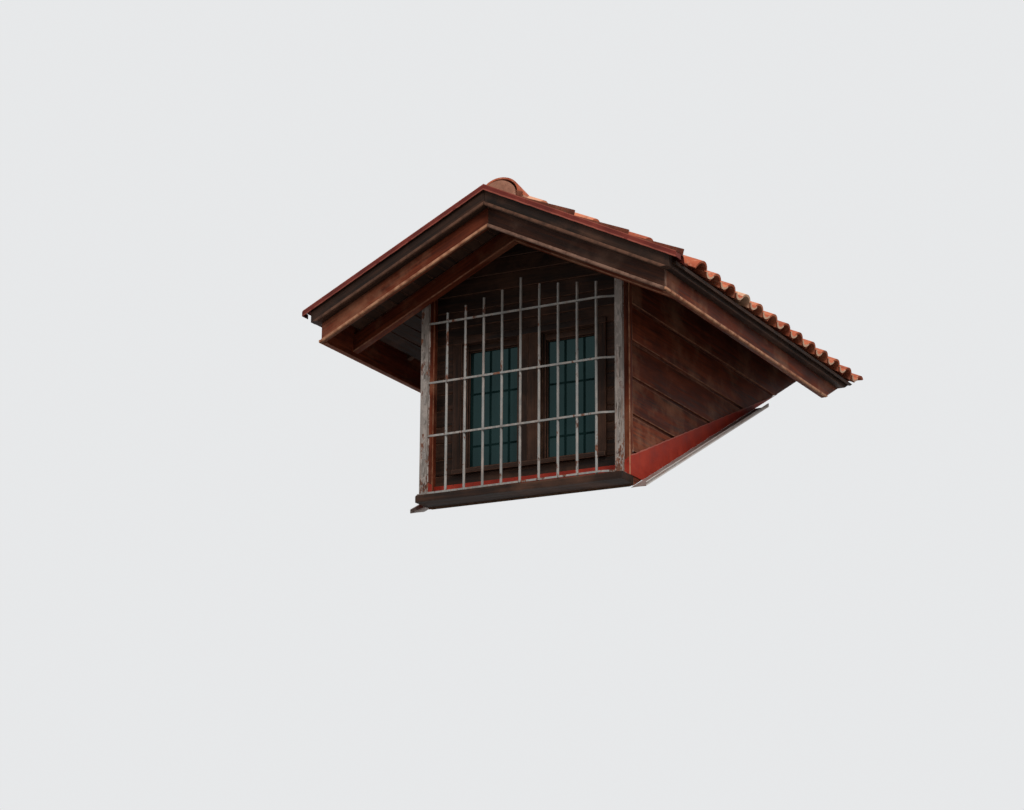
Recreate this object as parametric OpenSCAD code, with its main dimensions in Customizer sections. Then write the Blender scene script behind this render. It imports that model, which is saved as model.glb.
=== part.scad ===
/* [Walls] */
// Width over the two cheek walls
wall_w = 1400; // [1250:10:1600]
// Thickness of the stud walls behind the boards
wall_t = 88; // [60:2:110]
// Thickness of the wall boards
board_t = 22; // [16:1:30]
// Width of the corner boards
corner_w = 50; // [40:1:80]
// How far the corner boards stand proud of the front boards
corner_proud = 45; // [20:1:60]

/* [Roof] */
// Slope of the dormer's own roof
roof_pitch = 26.2; // [22:0.1:32]
// Slope of the main roof that the dormer stands on
main_pitch = 26.5; // [22:0.5:32]
// Height of the apex of the roof boards above the foot of the front wall
ridge_z = 1815; // [1700:5:2000]
// Half width to the outer face of the lower fascia
eave_half = 1165; // [1080:5:1250]
// Overhang of the lower barge board in front of the wall boards
overhang = 550; // [400:10:700]
// Thickness of the roof boards
deck_t = 20; // [15:1:30]
// How far the roof boards lie below the top of the gable boards
deck_dip = 40; // [10:1:45]
// Depth of the rafters
rafter_h = 30; // [25:1:60]
// Thickness of the soffit boards
soffit_t = 14; // [10:1:20]

/* [Gable boards] */
// Depth of the lower barge board, measured square to the slope
lower_h = 224; // [200:1:250]
// Depth of the upper barge board, measured square to the slope
upper_h = 112; // [90:1:130]
// Thickness of the lower barge board and fascia
barge_t = 25; // [20:1:35]
// How far the upper tier stands in front of the lower one
tier = 50; // [30:1:70]
// Depth of the beads along the lower edges of the boards
bead_h = 20; // [12:1:30]
// How far the beads stand proud
bead_t = 14; // [8:1:20]
// Height of the upper fascia
upper_fascia_h = 31; // [20:1:60]
// Depth of the raking beams in front of the wall
beam_h = 102; // [80:1:120]
// Drop of the verge flashing over the upper barge board
strip_drop = 29; // [20:1:45]

/* [Tiles] */
// Spacing of the tile columns
tile_gap = 220; // [190:1:240]
// Height of the tile crowns above the roof boards
tile_h = 82; // [70:1:100]
// How far the feet of the eave tiles reach past the roof boards
tile_over = 30; // [20:1:70]
// Radius of the ridge tiles
ridge_r = 125; // [110:1:140]

/* [Windows] */
// Width of one pane
pane_w = 304; // [280:1:350]
// Height of one pane
pane_h = 720; // [650:5:760]
// Width of the window frame's members
frame_w = 44; // [30:1:50]
// Width of the panel between the two windows
middle_w = 150; // [120:1:180]
// Bottom of the windows above the foot of the front wall
window_z = 230; // [200:1:260]
// Width of the casing boards
casing_w = 60; // [40:1:75]

/* [Grille] */
// Bars on each side of the middle bar
side_bars = 4; // [3:1:4]
// Spacing of the bars
bar_gap = 130; // [110:1:135]
// Diameter of the upright bars
bar_d = 16; // [12:1:20]
// Number of cross rails
rails = 4; // [3:1:5]
// Spacing of the cross rails
rail_gap = 362; // [250:1:370]
// How far the third rail from below sits under its even place
rail_slip = 22; // [0:1:30]
// Height of the flat cross rails
rail_d = 12; // [10:1:16]
// Thickness of the flat cross rails
rail_t = 8; // [6:1:12]
// Width of the two posts
post_w = 50; // [40:1:60]
// Thickness of the two posts
post_t = 25; // [18:1:40]
// Distance of the posts' middle in front of the wall boards
post_y = 120; // [100:1:140]
// Turn of the bent grille about its upright middle line
grille_turn = 1.2; // [0:0.1:2]

/* [Hidden] */
$fn = 24;
big = 9000;
sheet = 3;

// Slopes as rise over run, and how far below the top of the gable boards each layer lies, measured plumb
roof_m = tan(roof_pitch);
main_m = tan(main_pitch);
roof_boards = deck_t + deck_dip;
deck_drop = roof_boards / cos(roof_pitch);
rafter_drop = (roof_boards + rafter_h) / cos(roof_pitch);
soffit_drop = (roof_boards + rafter_h + soffit_t) / cos(roof_pitch);

// Walls
wall_half = wall_w / 2;
stud_half = wall_half - board_t;
room_half = stud_half - wall_t;
front_back = board_t + wall_t;
sole_t = 50;
sole_lift = sole_t / cos(main_pitch);
front_top = 100;

// Gable boards and eaves
barge_y = -overhang;
upper_y = barge_y - tier;
strip_out = 20;
strip_y = upper_y - strip_out;
strip_w = 110;
upper_half = eave_half + tier;
deck_half = upper_half + 25;
strip_half = deck_half + 30;
fascia_z = ridge_z - lower_h / cos(roof_pitch) - eave_half * roof_m;
upper_z = ridge_z - deck_drop - upper_half * roof_m - upper_fascia_h;
tile_l = (deck_half + tile_over) / cos(roof_pitch);
slope_l = tile_l + 200;
beam_y = barge_y + 335;
beam_t = 65;

// Rafters and the boards they stand on along the valleys
rafter_w = 45;
rafter_gap = 480;
valley_t = 25;
valley_w = 170;
valley_lift = valley_t / cos(main_pitch);
valley_back = (ridge_z - deck_drop - valley_lift) / main_m;
rafter_count = floor((valley_back - barge_y) / rafter_gap);

// Tiles
roof_depth = ridge_z / main_m - strip_y + 600;
rib_r = 80;
pan_t = 25;
pan_start = strip_w - 30;
tile_start = strip_w + 260;
crown_rise = tile_h - deck_dip;
last_rib = floor(((ridge_z - deck_dip / cos(roof_pitch)) / main_m - strip_y - tile_start) / tile_gap);
ridge_front = strip_y + 205;
ridge_top = ridge_z + 120;

// Windows
opening_w = pane_w + 2 * frame_w;
opening_h = pane_h + 2 * frame_w;
window_x = middle_w / 2 + opening_w / 2;
pane_y = 45;
pane_t = 5;
rebate = 8;
casing_t = 18;
casing_head = 45;
casing_foot = 30;

// Sill, flashings and gutter
sill_z = 60;
sill_h = 48;
sill_out = 165;
sill_chamfer = 10;
apron_h = 78;
corner_wrap_h = 85;
upstand_z = 157;
upstand_m = 0.413;
gutter_w = 100;
gutter_lip = 28;
gutter_l = fascia_z / main_m - 40;

// Grille
post_x = wall_half - corner_w / 2 - 7;
post_edge = post_x - post_w / 2;
foot_w = post_w + 24;
foot_t = 6;
rail_z = sill_z + 15;
rail_straight = side_bars * bar_gap + 20;
bar_foot = 12;
weld = 1;
middle_top = 211;
left_top = 61;
left_step = 30;
right_top = 107;
right_step = 15;

wood = [0.30, 0.15, 0.11];
dark_wood = [0.20, 0.11, 0.09];
clay = [0.72, 0.33, 0.20];
red_metal = [0.55, 0.12, 0.10];
zinc = [0.75, 0.77, 0.78];
iron = [0.72, 0.70, 0.66];
glass = [0.25, 0.42, 0.48];

// Stands a flat outline drawn across the front (x, z) up and gives it depth from y0 back to y1.
module across(y0, y1) translate([0, y1, 0]) rotate([90, 0, 0]) linear_extrude(y1 - y0) children();

// Turns a flat outline drawn in side view (y, z) and gives it width from x0 to x1.
module sideways(x0, x1) translate([x0, 0, 0]) rotate([90, 0, 90]) linear_extrude(x1 - x0) children();

// Lays its children on the right slope: x runs down the slope from the apex, z stands square to it.
module slope() translate([0, 0, ridge_z]) rotate([0, roof_pitch, 0]) children();

// Boards that follow the slope, cut plumb at the mitre and at their lower end.
module slope_boards(half) between_x(0, half) slope() children();

module mirrored() mirror([1, 0, 0]) children();

module both_sides() {
    children();
    mirrored() children();
}

// Keeps what lies between two upright planes.
module between_x(x0, x1) intersection() {
    children();
    translate([x0, -big, -big]) cube([x1 - x0, 2 * big, 2 * big]);
}

// Keeps what lies above the main roof, or above a plane lifted plumb from it.
module above_main(lift = 0) intersection() {
    children();
    sideways(-big, big) polygon([[-big, lift - big * main_m], [big, lift + big * main_m],
        [-big, lift + big * main_m]]);
}

module below_main(lift) intersection() {
    children();
    sideways(-big, big) polygon([[-big, lift - big * main_m], [big, -big * main_m],
        [big, lift + big * main_m]]);
}

// A plate of thickness t lying on the main roof, with its outline given in plan.
module on_main(t) above_main() below_main(t / cos(main_pitch))
    translate([0, 0, -big / 2]) linear_extrude(big) children();

// Outline, in front view, of everything under a plane that runs below the slopes.
module under_roof(drop, half) polygon([[-half, -big], [half, -big], [half, ridge_z - drop - half * roof_m],
    [0, ridge_z - drop], [-half, ridge_z - drop - half * roof_m]]);

// The two window openings in front view.
module window_holes() for (side = [-1, 1]) translate([side * window_x - opening_w / 2, window_z])
    square([opening_w, opening_h]);

// A gable-topped outline from height z up to a layer of the roof.
module gable(drop, half, z) intersection() {
    under_roof(drop, half);
    translate([-half, z]) square([2 * half, big]);
}

module sole_plates() above_main() {
    cheek_end = (ridge_z - rafter_drop - stud_half * roof_m - sole_lift) / main_m;
    translate([-stud_half, 0, -front_top]) cube([2 * stud_half, front_back, 2 * front_top]);
    for (x = [-stud_half, room_half]) below_main(sole_lift) translate([x, front_back, -front_top])
        cube([wall_t, cheek_end - front_back, big]);
}

module valley_boards() {
    run = room_half * roof_m / main_m;
    both_sides() on_main(valley_t) polygon([[0, valley_back], [0, valley_back - valley_w],
        [room_half, valley_back - valley_w - run], [room_half, valley_back - run]]);
}

module front_wall() difference() {
    across(board_t, front_back) gable(rafter_drop, stud_half, front_top);
    across(0, front_back + 1) window_holes();
}

module front_cladding() difference() {
    across(0, board_t) gable(soffit_drop, stud_half, front_top);
    across(-1, board_t + 1) window_holes();
}

module right_cheek() above_main(sole_lift) across(front_back, big) intersection() {
    under_roof(rafter_drop, stud_half);
    translate([room_half, -big / 2]) square([wall_t, big]);
}

module right_cladding() above_main(sheet) across(0, big) intersection() {
    under_roof(soffit_drop, wall_half);
    translate([stud_half, -big / 2]) square([board_t, big]);
}

module right_corner_board() across(-corner_proud, 0) intersection() {
    under_roof(soffit_drop, wall_half);
    translate([wall_half - corner_w, sill_z]) square([corner_w, big]);
}

module window_frame() translate([window_x - pane_w / 2, 0, window_z + frame_w]) difference() {
    across(board_t + 4, front_back - 20) translate([-frame_w, -frame_w]) square([opening_w, opening_h]);
    across(0, front_back) square([pane_w, pane_h]);
    across(pane_y, pane_y + pane_t) pane_outline();
}

module window_pane() translate([window_x - pane_w / 2, 0, window_z + frame_w])
    across(pane_y, pane_y + pane_t) pane_outline();

module pane_outline() translate([-rebate, -rebate]) square([pane_w + 2 * rebate, pane_h + 2 * rebate]);

module window_surround() difference() {
    surround_half = window_x + opening_w / 2 + casing_w;
    across(-casing_t, 0) translate([-surround_half, window_z - casing_foot])
        square([2 * surround_half, opening_h + casing_foot + casing_head]);
    across(-casing_t - 1, 1) window_holes();
}

module sill_beam() sideways(-wall_half, wall_half) polygon([[-sill_out, sill_z - sill_h],
    [0, sill_z - sill_h], [0, sill_z], [sill_chamfer - sill_out, sill_z],
    [-sill_out, sill_z - sill_chamfer]]);

module front_flashing() {
    inner = wall_half - corner_w;
    translate([-inner, -70, sill_z]) cube([2 * inner, 70, sheet]);
    translate([-inner, -casing_t, sill_z + sheet]) cube([2 * inner, sheet, apron_h - sheet]);
}

module grille_post(side) {
    across(-post_y - post_t / 2, -post_y + post_t / 2) intersection() {
        under_roof(soffit_drop, wall_half);
        translate([side * post_x - post_w / 2, sill_z]) square([post_w, big]);
    }
    translate([side * post_x - post_w / 2, -post_y - foot_w / 2, sill_z]) cube([post_w, foot_w, foot_t]);
}

// Height of each bar's free end above the top rail: steep on the left, flatter on the right.
function bar_top(i) = i == 0 ? middle_top : i < 0 ? left_top + left_step * (i + side_bars)
    : right_top + right_step * (side_bars - i);

// Middle plane of the bars, which stand a little turned, and the share of a rail's bend at a given x.
function bar_line(x) = -post_y - x * sin(grille_turn);
function bend(x) = max(0, min(1, (abs(x) - rail_straight) / (post_edge - rail_straight)));
function ease(s) = s * s * (3 - 2 * s);

// Middle of a rail: welded to the front of the bars, its ends bent in an S back to the posts.
function rail_line(x) = (bar_line(x) - bar_d / 2 - rail_t / 2 + weld) * (1 - ease(bend(x)))
    - post_y * ease(bend(x));

module grille() {
    top_z = rail_height(rails - 1);
    for (i = [-side_bars:side_bars]) translate([i * bar_gap, bar_line(i * bar_gap), rail_z - bar_foot])
        cylinder(d = bar_d, h = top_z - rail_z + bar_foot + bar_top(i));
    for (j = [0:rails - 1]) translate([0, 0, rail_height(j) - rail_d / 2]) rail();
}

// Rails are evenly spaced, but for the third from below, which sits a little low.
function rail_height(j) = rail_z + j * rail_gap - (j == 2 ? rail_slip : 0);

// One flat cross rail, drawn in plan along its bent middle line.
module rail() {
    steps = 8;
    step = (post_edge - rail_straight) / steps;
    xs = concat([for (i = [0:steps]) -post_edge + i * step], [for (i = [steps:-1:0]) post_edge - i * step]);
    linear_extrude(rail_d) polygon(concat([for (x = xs) [x, rail_line(x) - rail_t / 2]],
        [for (i = [len(xs) - 1:-1:0]) [xs[i], rail_line(xs[i]) + rail_t / 2]]));
}

module right_beam() between_x(0, eave_half - barge_t) across(beam_y, beam_y + beam_t) difference() {
    under_roof(soffit_drop, eave_half);
    under_roof(soffit_drop + beam_h / cos(roof_pitch), eave_half + 1);
}

module rafters() both_sides() above_main(valley_lift) between_x(rafter_w / 2, eave_half - barge_t)
    for (i = [0:rafter_count]) slope()
        translate([0, barge_y + barge_t + 20 + i * rafter_gap, -roof_boards - rafter_h])
            cube([slope_l, rafter_w, rafter_h]);

module ridge_board() above_main(valley_lift) across(barge_y + barge_t, big) intersection() {
    translate([-rafter_w / 2, 0]) square([rafter_w, big]);
    difference() {
        under_roof(deck_drop, rafter_w);
        under_roof(rafter_drop, rafter_w + 1);
    }
}

module right_deck() above_main() slope_boards(deck_half)
    translate([-60, barge_y, -roof_boards]) cube([slope_l, roof_depth, deck_t]);

module right_soffit() above_main() difference() {
    slope_boards(eave_half - barge_t) translate([-60, barge_y + barge_t, -roof_boards - rafter_h - soffit_t])
        cube([slope_l, roof_depth, soffit_t]);
    translate([-1, 0, 0]) cube([stud_half + 1, big, big]);
    translate([-1, board_t, 0]) cube([wall_half + 1, big, big]);
}

module right_lower_barge() slope_boards(eave_half) {
    translate([-150, barge_y, -lower_h]) cube([slope_l, barge_t, lower_h - roof_boards]);
    translate([-150, barge_y - bead_t, -lower_h]) cube([slope_l, bead_t, bead_h]);
}

module right_upper_barge() difference() {
    slope_boards(upper_half) {
        translate([-150, upper_y, -upper_h]) cube([slope_l, tier, upper_h]);
        translate([-150, upper_y - bead_t, -upper_h]) cube([slope_l, bead_t, bead_h]);
    }
    translate([0, upper_y - big, upper_z - big]) cube([big, 2 * big, big]);
}

module right_fascia() above_main() {
    across(barge_y + barge_t, big) intersection() {
        under_roof(deck_drop, eave_half);
        translate([eave_half - barge_t, fascia_z]) square([barge_t, big]);
    }
    across(barge_y - bead_t, big) translate([eave_half, fascia_z]) square([bead_t, bead_h]);
    across(barge_y, big) intersection() {
        under_roof(deck_drop, upper_half);
        translate([eave_half, upper_z]) square([tier, big]);
    }
}

// Sheet folded over the rake, with its end turned down at the eave.
module right_verge_strip() {
    end_z = ridge_z - strip_half * roof_m - strip_drop;
    slope_boards(strip_half) {
        translate([-60, strip_y, 0]) cube([slope_l, strip_w, sheet]);
        translate([-60, strip_y, -strip_drop]) cube([slope_l, sheet, strip_drop]);
    }
    across(strip_y, strip_y + strip_w - 40) translate([strip_half - sheet, end_z])
        square([sheet, strip_drop]);
}

// End view of a slope's tiles: barrel ribs on a pan sheet that starts under the verge flashing.
module tile_outline() intersection() {
    union() {
        translate([pan_start, 0]) square([roof_depth, pan_t]);
        for (i = [0:last_rib])
            translate([tile_start + i * tile_gap, tile_h - rib_r]) circle(r = rib_r, $fn = 32);
    }
    square([roof_depth, tile_h]);
}

// One slope of tiles, ended square to the slope at the eave and cut off along the main roof.
module right_tiles() above_main() slope_boards(big) translate([-60, strip_y, -deck_dip])
    rotate([90, 0, 90]) linear_extrude(tile_l + 60) tile_outline();

module ridge_tiles() above_main() difference() {
    translate([0, ridge_front, ridge_top - ridge_r]) rotate([-90, 0, 0])
        cylinder(r = ridge_r, h = roof_depth, $fn = 48);
    across(strip_y, big) under_roof(-crown_rise / cos(roof_pitch), 2 * ridge_r);
}

module right_side_flashing() above_main() intersection() {
    union() {
        translate([wall_half, -corner_proud - sheet, -big / 2]) cube([sheet, big, big]);
        translate([wall_half - corner_w, -corner_proud - sheet, sill_z])
            cube([corner_w, sheet, corner_wrap_h]);
    }
    sideways(0, big) polygon([[-100, -big], [-100, upstand_z],
        [big, upstand_z + (big + 100) * upstand_m], [big, -big]]);
    across(-100, big) under_roof(soffit_drop, wall_half + sheet);
}

module right_gutter() {
    on_main(sheet) translate([wall_half + sheet, -corner_proud]) square([gutter_w, gutter_l]);
    on_main(gutter_lip) translate([wall_half + sheet + gutter_w, -corner_proud]) square([sheet, gutter_l]);
}

color(dark_wood) sole_plates();
color(dark_wood) valley_boards();
color(dark_wood) front_wall();
color(wood) front_cladding();
color(dark_wood) mirrored() right_cheek();  // left_cheek
color(dark_wood) right_cheek();
color(wood) mirrored() right_cladding();  // left_cladding
color(wood) right_cladding();
color(wood) mirrored() right_corner_board();  // left_corner_board
color(wood) right_corner_board();
color(dark_wood) mirrored() window_frame();  // left_window
color(dark_wood) window_frame();  // right_window
color(glass) mirrored() window_pane();  // left_pane
color(glass) window_pane();  // right_pane
color(dark_wood) window_surround();
color(dark_wood) sill_beam();
color(red_metal) front_flashing();
color(iron) grille_post(-1);  // left_grille_post
color(iron) grille_post(1);  // right_grille_post
color(iron) grille();
color(wood) mirrored() right_beam();  // left_beam
color(wood) right_beam();
color(dark_wood) rafters();
color(dark_wood) ridge_board();
color(dark_wood) mirrored() right_deck();  // left_deck
color(dark_wood) right_deck();
color(wood) mirrored() right_soffit();  // left_soffit
color(wood) right_soffit();
color(wood) mirrored() right_lower_barge();  // left_lower_barge
color(wood) right_lower_barge();
color(wood) mirrored() right_upper_barge();  // left_upper_barge
color(wood) right_upper_barge();
color(wood) mirrored() right_fascia();  // left_fascia
color(wood) right_fascia();
color(red_metal) mirrored() right_verge_strip();  // left_verge_strip
color(red_metal) right_verge_strip();
color(clay) mirrored() right_tiles();  // left_tiles
color(clay) right_tiles();
color(clay) ridge_tiles();
color(red_metal) mirrored() right_side_flashing();  // left_side_flashing
color(red_metal) right_side_flashing();
color(zinc) mirrored() right_gutter();  // left_gutter
color(zinc) right_gutter();
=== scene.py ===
"""Looks of a gabled timber dormer: barrel tiles, boarded eaves and walls, windows and a barred grille."""

import logging
import math
from collections.abc import Callable, Sequence
from dataclasses import dataclass
from enum import Enum
from random import Random

import bmesh
import bpy
from mathutils import Matrix, Vector

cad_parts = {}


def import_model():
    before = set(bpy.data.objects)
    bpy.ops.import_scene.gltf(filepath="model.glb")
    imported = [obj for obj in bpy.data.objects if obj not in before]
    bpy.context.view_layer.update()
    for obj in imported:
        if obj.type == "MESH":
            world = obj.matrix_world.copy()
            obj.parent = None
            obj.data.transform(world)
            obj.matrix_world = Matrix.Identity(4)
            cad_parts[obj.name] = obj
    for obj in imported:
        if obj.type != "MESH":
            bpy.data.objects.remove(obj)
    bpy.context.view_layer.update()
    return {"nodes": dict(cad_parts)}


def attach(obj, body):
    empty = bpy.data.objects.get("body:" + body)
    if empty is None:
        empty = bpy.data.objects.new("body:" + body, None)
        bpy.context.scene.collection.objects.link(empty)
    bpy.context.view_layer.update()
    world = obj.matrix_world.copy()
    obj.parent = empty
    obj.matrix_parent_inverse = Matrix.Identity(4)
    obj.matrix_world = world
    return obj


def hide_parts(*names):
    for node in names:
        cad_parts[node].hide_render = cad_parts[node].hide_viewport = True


log = logging.getLogger("dormer")

Point = tuple[float, float, float]
Colour = tuple[float, float, float]


class Side(Enum):
    """Which half of the dormer a piece stands on; everything is drawn on the right and mirrored."""

    RIGHT = 1
    LEFT = -1

    @property
    def word(self) -> str:
        """Returns the side's name as the parts use it."""
        return self.name.lower()


class Along(Enum):
    """Which way the grain runs, as the order in which coordinates are read."""

    X = (0, 1, 2)
    Y = (1, 0, 2)
    Z = (2, 0, 1)


@dataclass(frozen=True)
class Cut:
    """A saw cut: what lies beyond the plane, on the side its normal points to, is removed.

    Args:
        point: A point on the plane.
        normal: The plane's normal.
    """

    point: Point
    normal: Point

    def apply(self, solid: bmesh.types.BMesh) -> None:
        """Cuts a closed solid and closes it again.

        Args:
            solid: The solid that is cut in place.
        """
        result = bmesh.ops.bisect_plane(
            solid, geom=[*solid.verts, *solid.edges, *solid.faces], dist=1e-6,
            plane_co=self.point, plane_no=self.normal, clear_outer=True, clear_inner=False)
        rim = [e for e in result["geom_cut"] if isinstance(e, bmesh.types.BMEdge) and e.is_boundary]
        if rim:
            bmesh.ops.edgeloop_fill(solid, edges=rim)


@dataclass(frozen=True)
class RoofPlan:
    """The slopes that every layer of the dormer is measured from, in metres and radians."""

    ridge: float = 1.815
    pitch: float = math.radians(26.2)
    main_pitch: float = math.radians(26.5)
    dip: float = 0.040
    boards: float = 0.020
    soffit: float = 0.104

    @property
    def slope(self) -> Matrix:
        """Lays x down the right slope from the apex, y along the ridge and z square to the slope."""
        return Matrix.Translation((0, 0, self.ridge)) @ Matrix.Rotation(self.pitch, 4, "Y")

    def height(self, x: float) -> float:
        """Returns the height of the gable boards' top at a distance from the middle."""
        return self.ridge - abs(x) * math.tan(self.pitch)

    def under(self, depth: float, side: int = 1) -> Cut:
        """Returns the cut along the underside of a layer, a depth square below the gable boards' top."""
        normal = Vector((side * math.sin(self.pitch), 0, math.cos(self.pitch)))
        return Cut(tuple(Vector((0, 0, self.ridge)) - normal * depth), tuple(normal))

    def main_roof(self, lift: float = 0.0) -> Cut:
        """Returns the cut along the main roof, lifted plumb by a little where asked."""
        return Cut((0, 0, lift), (0, math.sin(self.main_pitch), -math.cos(self.main_pitch)))

    def main_height(self, y: float) -> float:
        """Returns the height of the main roof at a distance behind the front wall."""
        return y * math.tan(self.main_pitch)


ROOF = RoofPlan()


def srgb(red: int, green: int, blue: int) -> Colour:
    """Turns a colour as a paint chart gives it into the linear one that shaders use.

    Args:
        red: Red, 0 to 255.
        green: Green, 0 to 255.
        blue: Blue, 0 to 255.

    Returns:
        The linear colour.
    """
    parts = (channel / 255 for channel in (red, green, blue))
    return tuple(p / 12.92 if p <= 0.04045 else ((p + 0.055) / 1.055) ** 2.4 for p in parts)


class Graph:
    """A material's node tree, with short calls for what the finishes share."""

    def __init__(self, name: str) -> None:
        """Starts a material with one shader.

        Args:
            name: The material's name.
        """
        self.material = bpy.data.materials.new(name)
        self.material.use_nodes = True
        self.tree = self.material.node_tree
        self.tree.nodes.clear()
        self.shader = self.node("ShaderNodeBsdfPrincipled")
        output = self.node("ShaderNodeOutputMaterial")
        self.tree.links.new(self.shader.outputs["BSDF"], output.inputs["Surface"])

    def node(self, kind: str, **settings: object) -> bpy.types.Node:
        """Adds a node and sets its properties.

        Args:
            kind: The node's type.
            settings: Properties of the node by name.

        Returns:
            The node.
        """
        made = self.tree.nodes.new(kind)
        for key, value in settings.items():
            setattr(made, key, value)
        return made

    def feed(self, socket: bpy.types.NodeSocket, value: object) -> None:
        """Links a socket to another one, or sets it to a plain value.

        Args:
            socket: The input that is fed.
            value: An output socket, a number or a colour.
        """
        if isinstance(value, bpy.types.NodeSocket):
            self.tree.links.new(value, socket)
        elif isinstance(value, tuple) and socket.type == "RGBA":
            socket.default_value = (*value, 1)
        else:
            socket.default_value = value

    def attribute(self, name: str, output: str = "Fac") -> bpy.types.NodeSocket:
        """Reads one of the piece's own attributes."""
        return self.node("ShaderNodeAttribute", attribute_name=name).outputs[output]

    def stretch(self, vector: bpy.types.NodeSocket, scale: Point,
                turn: Point = (0, 0, 0)) -> bpy.types.NodeSocket:
        """Scales and turns coordinates.

        Args:
            vector: The coordinates.
            scale: The scale along each axis.
            turn: The turn about each axis, in radians.

        Returns:
            The new coordinates.
        """
        mapping = self.node("ShaderNodeMapping")
        self.feed(mapping.inputs["Vector"], vector)
        mapping.inputs["Scale"].default_value = scale
        mapping.inputs["Rotation"].default_value = turn
        return mapping.outputs["Vector"]

    def object_space(self) -> bpy.types.NodeSocket:
        """Returns the object's own coordinates, in metres."""
        return self.node("ShaderNodeTexCoord").outputs["Object"]

    def noise(self, vector: bpy.types.NodeSocket, scale: float, detail: float = 4,
              roughness: float = 0.6, distortion: float = 0) -> bpy.types.NodeSocket:
        """Adds a cloud pattern.

        Args:
            vector: The coordinates it reads.
            scale: How fine it is.
            detail: How many finer layers it has.
            roughness: How strong the finer layers are.
            distortion: How much it swirls.

        Returns:
            The pattern, around 0.5.
        """
        made = self.node("ShaderNodeTexNoise")
        for key, value in (("Vector", vector), ("Scale", scale), ("Detail", detail),
                           ("Roughness", roughness), ("Distortion", distortion)):
            self.feed(made.inputs[key], value)
        return made.outputs["Fac"]

    def cells(self, vector: bpy.types.NodeSocket, scale: float, feature: str = "F1",
              output: str = "Distance") -> bpy.types.NodeSocket:
        """Adds a cell pattern.

        Args:
            vector: The coordinates it reads.
            scale: How fine it is.
            feature: Which measure of the cells it gives.
            output: Which output is read.

        Returns:
            The pattern.
        """
        made = self.node("ShaderNodeTexVoronoi", feature=feature)
        self.feed(made.inputs["Vector"], vector)
        made.inputs["Scale"].default_value = scale
        return made.outputs[output]

    def remap(self, value: object, low: float, high: float, to_low: float = 0,
              to_high: float = 1) -> bpy.types.NodeSocket:
        """Maps a range of values to another and clamps it.

        Args:
            value: The value that is mapped.
            low: Lowest value read.
            high: Highest value read.
            to_low: What the lowest becomes.
            to_high: What the highest becomes.

        Returns:
            The mapped value.
        """
        made = self.node("ShaderNodeMapRange")
        for index, part in enumerate((value, low, high, to_low, to_high)):
            self.feed(made.inputs[index], part)
        return made.outputs[0]

    def math(self, operation: str, first: object, second: object = 0.0) -> bpy.types.NodeSocket:
        """Works out one sum.

        Args:
            operation: Blender's name for it.
            first: The first value.
            second: The second value.

        Returns:
            The result.
        """
        made = self.node("ShaderNodeMath", operation=operation)
        self.feed(made.inputs[0], first)
        self.feed(made.inputs[1], second)
        return made.outputs[0]

    def mix(self, share: object, first: object, second: object, blend: str = "MIX") -> bpy.types.NodeSocket:
        """Mixes two colours.

        Args:
            share: How much of the second shows.
            first: The first colour.
            second: The second colour.
            blend: How they mix.

        Returns:
            The mixed colour.
        """
        made = self.node("ShaderNodeMix", data_type="RGBA", blend_type=blend)
        self.feed(made.inputs[0], share)
        self.feed(made.inputs[6], first)
        self.feed(made.inputs[7], second)
        return made.outputs[2]

    def ramp(self, value: object, stops: Sequence[tuple[float, Colour]]) -> bpy.types.NodeSocket:
        """Turns a value into a colour along a scale.

        Args:
            value: The value, 0 to 1.
            stops: Places on the scale with their colours.

        Returns:
            The colour.
        """
        made = self.node("ShaderNodeValToRGB")
        self.feed(made.inputs[0], value)
        scale = made.color_ramp.elements
        while len(scale) < len(stops):
            scale.new(0.5)
        for element, (place, colour) in zip(scale, stops):
            element.position = place
            element.color = (*colour, 1)
        return made.outputs[0]

    def bump(self, height: object, distance: float, strength: float = 1.0) -> None:
        """Gives the shader a relief.

        Args:
            height: The relief's height, 0 to 1.
            distance: What a height of 1 stands for, in metres.
            strength: How strongly it shows.
        """
        made = self.node("ShaderNodeBump")
        made.inputs["Strength"].default_value = strength
        made.inputs["Distance"].default_value = distance
        self.feed(made.inputs["Height"], height)
        self.tree.links.new(made.outputs["Normal"], self.shader.inputs["Normal"])

    def set(self, name: str, value: object) -> None:
        """Sets or links one of the shader's own sockets."""
        self.feed(self.shader.inputs[name], value)


class Grain(Enum):
    """Where a timber finish takes the run of its grain from."""

    BOARDS = "boards"
    ALONG_X = "x"
    ALONG_Y = "y"
    DOWN_SLOPE = "slope"


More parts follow.
